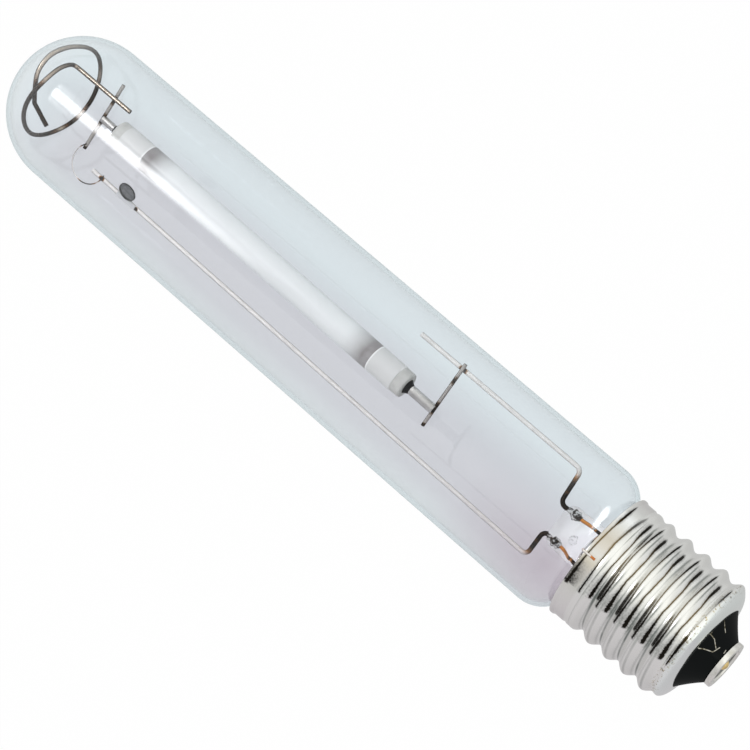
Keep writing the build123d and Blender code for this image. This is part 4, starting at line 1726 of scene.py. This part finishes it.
@dataclass
class ArcTube:
    """Translucent tube with its plugs, feedthroughs and sealing glass."""

    middle: Point = (-1.95, 0.0, -177.3)
    lean: float = 0.68
    half_length: float = 55.6
    radius: float = 4.2
    bore: float = 3.5
    soft: float = 0.15
    plug_depth: float = 9.2
    collar_length: float = 3.3
    collar_radius: float = 4.05
    collar_round: float = 0.6
    seal_radius: float = 2.4
    seal_height: float = 1.5
    seal_steps: int = 6
    feed_radius: dict[Side, float] = field(default_factory=lambda: {Side.CAP: 1.5, Side.DOME: 1.2})
    feed_reach: dict[Side, float] = field(default_factory=lambda: {Side.CAP: 10.2, Side.DOME: 6.6})
    feed_wall: float = 0.3
    ceramic: Finish = Powder("plug_ceramic", (0.74, 0.735, 0.705), (0.65, 0.645, 0.615), 0.4, 500.0)
    black: Finish = Powder("sealing_glass", (0.006, 0.006, 0.006), (0.015, 0.015, 0.015), 0.15, 300.0, 0.05)
    niobium: Finish = PlainMetal("niobium", (0.80, 0.78, 0.77), (0.62, 0.60, 0.59), 0.22, 350.0)
    tungsten: Finish = PlainMetal("tungsten", (0.4, 0.39, 0.38), (0.3, 0.29, 0.28), 0.4)

    def put(self, piece: bpy.types.Object, side: Side = Side.CAP) -> bpy.types.Object:
        """Turns a piece, drawn with its outer end towards +Z, to its place on the leaning tube."""
        flip = Quaternion((1, 0, 0), 0.0 if side is Side.CAP else pi)
        return settle(piece, self.middle, Quaternion((0, 1, 0), radians(self.lean)) @ flip)

    def tube(self) -> None:
        """The tube itself, with softened ends."""
        end, soft, bore, radius = self.half_length, self.soft, self.bore, self.radius
        half = [(bore, end - soft), (bore + soft, end), (radius - soft, end), (radius, end - soft)]
        other = [(wide, -height) for wide, height in reversed(half)]
        rings = rings_of(*half, (radius, 0), *other, half[0])
        piece = self.put(turned_piece("arc_tube_wall", rings, 72, Shade.CRISP))
        hand_over(piece, Alumina("alumina_tube"), "alumina", "arc_tube")

    def end(self, side: Side) -> None:
        """Plug, sealing glass and feedthrough at one end, and the finish of its electrode.

        Args:
            side: which end.
        """
        name = f"{side.name.lower()}_end"
        feed, start = self.feed_radius[side], self.plug_depth - self.half_length
        collar, curve, outer = self.collar_radius, self.collar_round, self.half_length + self.collar_length
        turns = [radians(angle) for angle in (20, 45, 70, 90)]
        plug = rings_of(
            (feed, start),
            (self.bore, start),
            (self.bore, -self.half_length),
            (collar, -self.half_length - 0.01),
            (collar, curve - outer),
            *((collar - curve * (1 - cos(turn)), curve * (1 - sin(turn)) - outer) for turn in turns),
            (feed, -outer),
            (feed, start),
        )
        piece = self.put(turned_piece(f"{name}_plug_body", plug, 64, Shade.CRISP), side)
        hand_over(piece, self.ceramic, "alumina", f"{name}_plug")
        shares = [step / self.seal_steps for step in range(self.seal_steps + 1)]
        wide, high = self.seal_radius - feed, self.seal_height
        cone = [(feed + wide * (1 - share) ** 1.4 + 0.02, -outer - high * share) for share in shares]
        bead = rings_of((feed, -outer), *cone, (feed, -outer - high), (feed, -outer))
        piece = self.put(turned_piece(f"{name}_seal_bead", bead, 48, Shade.ROUND), side)
        hand_over(piece, self.black, "sealing_glass", f"{name}_seal")
        tip, inside = -outer - self.feed_reach[side], feed - self.feed_wall
        outside = [(feed, start), (feed, tip + 0.25), (feed - 0.08, tip)]
        pipe = rings_of((inside, start), *outside, (inside, tip), (inside, start))
        piece = self.put(turned_piece(f"{name}_feed_tube", pipe, 40, Shade.CRISP), side)
        hand_over(piece, self.niobium, "niobium", f"{name}_feedthrough")
        dress_solid(f"{name}_electrode", self.tungsten)

    def build(self) -> None:
        """Models the tube and both ends."""
        self.tube()
        for side in Side:
            self.end(side)


@dataclass
class Getter:
    """Cup of getter powder on the long lead."""

    height: float = 223.4
    lead_x: float = 11.852
    lean: float = 0.657
    radius: float = 3.0
    depth: float = 0.85
    wall: float = 0.2
    fill_below: float = 0.15
    from_lead: float = 1.82
    forward: float = 0.5
    tilt: float = 21.7
    turn: float = 6.3
    lead_radius: float = 0.7
    strip_width: float = 1.5
    strip_thickness: float = 0.25
    strip_round: float = 0.08
    strip_dome_side: float = 2.4
    strip_cap_side: float = 5.0
    segments: int = 56
    steel: Finish = PlainMetal("getter_steel", (0.10, 0.10, 0.10), (0.05, 0.05, 0.05), 0.35, 500.0)
    powder: Finish = Powder("getter_powder", (0.29, 0.29, 0.30), (0.17, 0.17, 0.18), 0.55, 1100.0)
    pale: Finish = Powder("getter_strip", (0.78, 0.78, 0.80), (0.70, 0.70, 0.72), 0.4, 300.0)

    def put(self, piece: bpy.types.Object, shift: Point, turn: Quaternion) -> bpy.types.Object:
        """Turns a piece drawn about the origin to its place on the leaning lead.

        Args:
            piece: the mesh object.
            shift: its place from the middle of the lead at the getter.
            turn: how it is turned on the lead.

        Returns:
            The same object.
        """
        lean = Quaternion((0, 1, 0), radians(self.lean))
        return settle(piece, Vector((self.lead_x, 0, -self.height)) + lean @ Vector(shift), lean @ turn)

    def strip(self) -> bpy.types.Object:
        """Models the strip that holds the cup, as a soft-edged bar about the origin.

        Returns:
            The mesh object, still to be put in its place.
        """
        clear_selection()
        size = (self.strip_width, self.strip_thickness, self.strip_dome_side + self.strip_cap_side)
        bpy.ops.mesh.primitive_cube_add(size=MM, scale=size)
        piece = bpy.context.object
        piece.name = piece.data.name = "getter_strip"
        fix_in_mesh()
        edit_all()
        bpy.ops.mesh.bevel(offset=self.strip_round * MM, segments=2, affect="EDGES")
        bpy.ops.object.mode_set(mode="OBJECT")
        return piece

    def build(self) -> None:
        """Models the cup, its filling and the strip on the front of the lead."""
        radius, inner, wall, depth = self.radius, self.radius - self.wall, self.wall, self.depth
        cup = rings_of(
            (POLE, 0),
            (radius - 0.3, 0),
            (radius - 0.09, -0.09),
            (radius, -0.3),
            (radius, 0.08 - depth),
            (radius - 0.08, -depth),
            (inner + 0.06, -depth),
            (inner, 0.08 - depth),
            (inner, -wall),
            (POLE, -wall),
        )
        top = self.fill_below - depth
        filling = rings_of(
            (POLE, top - 0.1),
            (inner * 0.55, top - 0.08),
            (inner * 0.9, top),
            (inner, top + 0.15),
            (inner, -wall),
            (POLE, -wall),
        )
        turn = Quaternion((0, 0, 1), radians(self.turn)) @ Quaternion((0, 1, 0), radians(self.tilt - 90))
        shift = (-self.from_lead, -self.forward, 0)
        for name, rings, finish, slot, node in (
            ("getter_cup_steel", cup, self.steel, "getter_metal", "getter_cup"),
            ("getter_filling", filling, self.powder, "getter_powder", "getter_fill"),
        ):
            piece = self.put(turned_piece(name, rings, self.segments, Shade.CRISP), shift, turn)
            hand_over(piece, finish, slot, node)
        front = -self.lead_radius - self.strip_thickness / 2
        middle = (self.strip_cap_side - self.strip_dome_side) / 2
        piece = self.put(self.strip(), (0, front, middle), Quaternion())
        finish_mesh(piece, Shade.CRISP, FINE_MERGE)
        hand_over(piece, self.pale, "getter_metal", "getter_tab")


@dataclass
class Cap:
    """Screw cap: nickel shell, black glass, contact plate, solder and the wire over the rim."""

    length: float = 46.0
    crest_radius: float = 19.75
    depth: float = 1.8
    pitch: float = 6.35
    crest_direction: float = 160.0
    crest_height: float = 16.7
    grown: float = 4.4
    runout: float = 9.5
    skirt_length: float = 6.0
    skirt_inset: float = 0.15
    rim_flare: float = 0.4
    rim_lip: float = 0.14
    rim_profile: Stops = (
        (1.75, 0.0), (1.45, 0.05), (1.2, 0.22), (0.98, 0.62), (0.8, 0.9), (0.6, 1.0), (0.2, 1.0), (0.1, 0.95),
    )
    groove_height: float = 41.1
    groove_profile: Stops = ((-0.75, 0.0), (-0.4, 0.13), (0.0, 0.24), (0.4, 0.13), (0.75, 0.0))
    wall: float = 0.4
    hole: float = 13.5
    end_height: float = 7.3
    end_depth: float = 3.2
    end_steps: int = 12
    steps_per_pitch: int = 22
    contact_radius: float = 7.3
    contact_round: float = 0.3
    contact_thickness: float = 1.6
    recess_radius: float = 5.3
    recess_depth: float = 0.6
    solder_radius: float = 1.6
    solder_rise: float = 1.0
    solder_steps: int = 8
    seat_radius: float = 7.0
    insulator_hollow: float = 0.3
    insulator_top: float = 12.5
    insulator_steps: int = 16
    wire_radius: float = 0.35
    wire_gap: float = 0.1
    wire_side: float = -106.0
    wire_start: Point = (4.6, 0.0, -44.0)
    wire_turn: float = 20.5
    wire_off_bore: float = 0.525
    wire_bend: float = 2.0
    wire_hairpin: float = 0.7
    wire_below_rim: float = 3.6

    def section(self, height: float, radius: float) -> Ring:
        """Section of the shell, off the axis where the thread is cut.

        Args:
            height: distance from the contact's face.
            radius: of the section.

        Returns:
            The section.
        """
        growth = ease(height, self.end_height, self.end_height + self.grown)
        growth *= 1 - ease(height, self.length - self.runout, self.length - self.skirt_length)
        turn = radians(self.crest_direction + 360 * (self.crest_height - height) / self.pitch)
        reach = growth * self.depth / 2
        return Ring(radius, height, (reach * cos(turn), reach * sin(turn)))

    def shell_sections(self) -> list[Ring]:
        """Sections of the shell's outside, from its end to its rim.

        Returns:
            The sections.
        """
        start, skirt = self.end_height + self.end_depth, self.length - self.skirt_length
        mean, wide = self.crest_radius - self.depth / 2, self.crest_radius - self.skirt_inset
        rings = []
        for turn in (radians(90 * step / self.end_steps) for step in range(self.end_steps)):
            radius = self.hole + (mean - self.hole) * sin(turn)
            rings.append(self.section(start - self.end_depth * cos(turn), radius))
        steps = round(self.steps_per_pitch * (skirt - start) / self.pitch)
        for height in (start + (skirt - start) * step / steps for step in range(steps + 1)):
            swell = ease(height, self.length - self.runout, skirt) * (wide - mean)
            rings.append(self.section(height, mean + swell))
        rings += [Ring(wide - dip, self.groove_height + off) for off, dip in self.groove_profile]
        for below, out in self.rim_profile:
            rings.append(Ring(wide + out * self.rim_flare, self.length - below))
        return rings

    def shell(self) -> None:
        """The rolled shell with its thread."""
        outside, floor = self.shell_sections(), self.end_height + self.wall
        lip = Ring(outside[-1].radius - self.rim_lip, self.length)
        inside = [
            Ring(ring.radius - self.wall, ring.height, ring.shift)
            for ring in reversed(outside)
            if ring.height > floor
        ]
        rings = [*outside, lip, *inside, Ring(self.hole, floor), outside[0]]
        piece = turned_piece("cap_shell_plate", rings, 144, Shade.ROUND)
        hand_over(piece, BrightNickel("bright_nickel"), "nickel_plate", "cap_shell")

    def insulator(self) -> None:
        """The black glass cone between shell and contact."""
        hole, base, seat = self.wire_radius + self.wire_gap, self.contact_thickness, self.seat_radius
        bore = self.crest_radius - self.depth - self.wall
        rings = rings_of((hole, base), (seat - 0.2, base))
        for share in (step / self.insulator_steps for step in range(self.insulator_steps + 1)):
            sag = self.insulator_hollow * 4 * share * (1 - share)
            height = base + (self.end_height - base) * share
            rings.append(Ring(seat + (self.hole - seat) * share - sag, height + 0.05))
        for turn in (radians(angle) for angle in (30, 60, 90)):
            height = self.end_height + self.end_depth - (self.end_depth - self.wall) * cos(turn)
            rings.append(Ring(self.hole + (bore - self.hole) * sin(turn), height))
        rings += [Ring(bore, self.insulator_top), Ring(hole, self.insulator_top), rings[0]]
        piece = turned_piece("insulator_glass", rings, 96, Shade.CRISP)
        hand_over(piece, BlackGlass("black_glass"), "black_glass", "cap_insulator")

    def contact(self) -> None:
        """Contact plate with its dished middle, and the solder on the wire's end."""
        edge, curve = self.contact_radius, self.contact_round
        recess, floor = self.recess_radius, self.recess_depth
        back = (self.wire_radius, self.contact_thickness)
        turns = [radians(angle) for angle in (0, 30, 60, 90)]
        rings = rings_of(
            back,
            (edge - 0.1, self.contact_thickness),
            (edge, self.contact_thickness - 0.1),
            *((edge - curve * (1 - cos(turn)), curve * (1 - sin(turn))) for turn in turns),
            (recess + 0.25, 0.0),
            (recess + 0.06, 0.08),
            (recess - 0.1, floor - 0.15),
            (recess - 0.3, floor),
            (self.wire_radius, floor),
            back,
        )
        plate = DishedMetal("contact_plate", reach=recess - 0.15)
        disc = turned_piece("contact_disc", rings, 80, Shade.CRISP)
        hand_over(disc, plate, "contact_metal", "centre_contact")
        shares = [step / self.solder_steps for step in range(1, self.solder_steps + 1)]
        dome = [(self.solder_radius * share, floor - self.solder_rise * (1 - share**2.2)) for share in shares]
        drop = rings_of((POLE, floor - self.solder_rise), *dome, (POLE, floor))
        solder = PlainMetal("golden_solder", (0.86, 0.66, 0.30), (0.62, 0.45, 0.2), 0.2, 700.0)
        hand_over(turned_piece("solder_drop", drop, 40, Shade.ROUND), solder, "solder", "contact_solder")

    def rim_wire(self) -> None:
        """The wire that comes up inside the shell and is bent down over its rim."""
        bore = self.crest_radius - self.depth - self.wall - self.wire_off_bore
        skirt, over = self.crest_radius - self.skirt_inset, self.length + self.wire_hairpin
        in_rim = skirt - self.wall - self.wire_radius - self.wire_gap
        turn = radians(self.wire_side)
        route = [self.wire_start, (*self.wire_start[:2], -self.wire_turn)]
        for radius, height in (
            (bore, self.wire_turn),
            (bore, self.length - self.runout),
            (in_rim, self.length - self.skirt_length),
            (in_rim, over),
            (skirt + self.rim_flare + self.wire_radius + self.wire_gap, over),
            (skirt + self.wire_radius, self.length - self.wire_below_rim),
        ):
            route.append((radius * cos(turn), radius * sin(turn), -height))
        bends = {corner: self.wire_bend if corner < 5 else self.wire_hairpin for corner in range(1, 7)}
        metal = WireMetal(
            "rim_wire_metal",
            colour=(0.85, 0.82, 0.79),
            tint=(0.72, 0.30, 0.10),
            core_tint=(0.62, 0.22, 0.07),
            spots=(HotSpot(route[-1], 1.9, 0.5),),
            rough=0.2,
        )
        wire = bent_wire("rim_wire", route, 2 * self.wire_radius, bends)
        hand_over(wire, metal, "cap_wire", "shell_lead_wire")
        dress_solid("contact_lead_wire", metal)

    def build(self) -> None:
        """Models the cap's pieces and dresses the cement."""
        self.shell()
        self.insulator()
        self.contact()
        self.rim_wire()
        dress_solid("cap_cement", Powder("basing_cement", (0.78, 0.75, 0.69), (0.66, 0.62, 0.55), 0.8, 700.0))


@dataclass
class Studio:
    """Pale floor, soft lights, white surroundings and the camera, in metres."""

    camera_place: Point = (-0.23523, -0.65306, 0.07884)
    camera_aim: Point = (0.0024, -0.00017, -0.12829)
    camera_roll: float = 130.76
    lens: float = 122.78
    sensor: float = 36.0
    floor_height: float = -1.1
    floor_size: float = 40.0
    fill: Colour = WHITE
    soft_share: float = 0.8
    metal_share: float = 0.45
    edge_fade: float = 0.36
    front_direction: float = -106.0
    front_distance: float = 0.8
    front_width: float = 0.27
    front_low: float = -0.80
    front_high: float = -0.44
    front_level: float = 11.5
    front_fade: Stops = ((0.0, 0.0), (0.22, 1.0), (0.66, 1.0), (0.80, 0.45), (0.92, 0.18), (1.0, 0.0))
    low_height: float = -0.71
    low_size: tuple[float, float] = (0.50, 0.20)
    low_level: float = 7.0
    low_fade: Stops = ((0.0, 0.0), (0.35, 1.0), (0.65, 1.0), (1.0, 0.0))

    def floor(self) -> None:
        """The floor, well below the hanging lamp."""
        clear_selection()
        bpy.ops.mesh.primitive_plane_add(size=self.floor_size, location=(0, 0, self.floor_height))
        floor = bpy.context.object
        floor.name = "floor"
        fix_in_mesh()
        floor.data.materials.append(PaleFloor("pale_floor").material())
        floor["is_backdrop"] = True

    def world(self) -> None:
        """White surroundings, with softer and darker parts of the room for reflections."""
        world = bpy.data.worlds.new("studio")
        bpy.context.scene.world = world
        world.use_nodes = True
        graph = Graph(world.node_tree)
        shown, seen = surroundings(graph, graph.out("TexCoord", output="Generated"))
        glow = graph.out("Background", {"Color": graph.mix(seen, self.fill, shown), "Strength": 1.0})
        graph.add("OutputWorld", {"Surface": glow})

    def light(self, name: str, height: float, size: tuple[float, float], level: float, fade: Stops) -> None:
        """Adds one soft light that faces the lamp's axis.

        Args:
            name: name of the light.
            height: place of its middle along the axis.
            size: its width and height.
            level: brightness of its face, where 1 is white.
            fade: how the brightness changes from its lower to its upper edge.
        """
        data = bpy.data.lights.new(name, "AREA")
        data.shape = "RECTANGLE"
        data.size, data.size_y = size
        data.energy = level * pi * size[0] * size[1]
        data.use_nodes = True
        graph = Graph(data.node_tree)
        across, up, _ = graph.parts(graph.out("NewGeometry", output="Parametric"))
        edge = graph.math("MINIMUM", across, 1.0 - across).spread(0, self.edge_fade, 0, 1)
        glossy, singular = graph.ray("Is Glossy Ray", "Is Singular Ray")
        share = singular.spread(0, 1, self.soft_share, 1)
        share = share * (glossy - singular).spread(0, 1, 1, self.metal_share)
        glow = graph.out("Emission", {"Color": graph.ramp(up, fade), "Strength": edge * share})
        graph.add("OutputLight", {0: glow})
        turn = radians(self.front_direction)
        place = Vector((self.front_distance * cos(turn), self.front_distance * sin(turn), height))
        lamp = bpy.data.objects.new(name, data)
        bpy.context.collection.objects.link(lamp)
        lamp.location = place
        lamp.rotation_euler = (Vector((0, 0, height)) - place).to_track_quat("-Z", "Y").to_euler()

    def camera(self) -> None:
        """The camera, which sees the lamp with its dome towards the upper left."""
        data = bpy.data.cameras.new("camera")
        data.lens, data.sensor_width = self.lens, self.sensor
        camera = bpy.data.objects.new("camera", data)
        bpy.context.collection.objects.link(camera)
        camera.location = self.camera_place
        look = (Vector(self.camera_aim) - Vector(self.camera_place)).to_track_quat("-Z", "Y")
        camera.rotation_mode = "QUATERNION"
        camera.rotation_quaternion = look @ Quaternion((0, 0, 1), radians(self.camera_roll))
        bpy.context.scene.camera = camera

    def build(self) -> None:
        """Sets the stage."""
        bpy.context.scene.view_settings.view_transform = "Standard"
        self.floor()
        self.world()
        middle = (self.front_low + self.front_high) / 2
        size = (self.front_width, self.front_high - self.front_low)
        self.light("front_light", middle, size, self.front_level, self.front_fade)
        self.light("low_light", self.low_height, self.low_size, self.low_level, self.low_fade)
        self.camera()


def main() -> None:
    """Builds the lamp piece by piece, then its stage."""
    logging.basicConfig(level=logging.INFO, format="%(message)s")
    for part in (Envelope(), Stem(), Wires(), ArcTube(), Getter(), Cap(), Studio()):
        part.build()
        LOG.info("%s built", type(part).__name__)
    clear_selection()
    boxes = {"cad": SOLID_BOX, "visual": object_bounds()}
    boxes = {name: [list(corner) for corner in box] for name, box in boxes.items()}


if __name__ == "__main__":
    main()
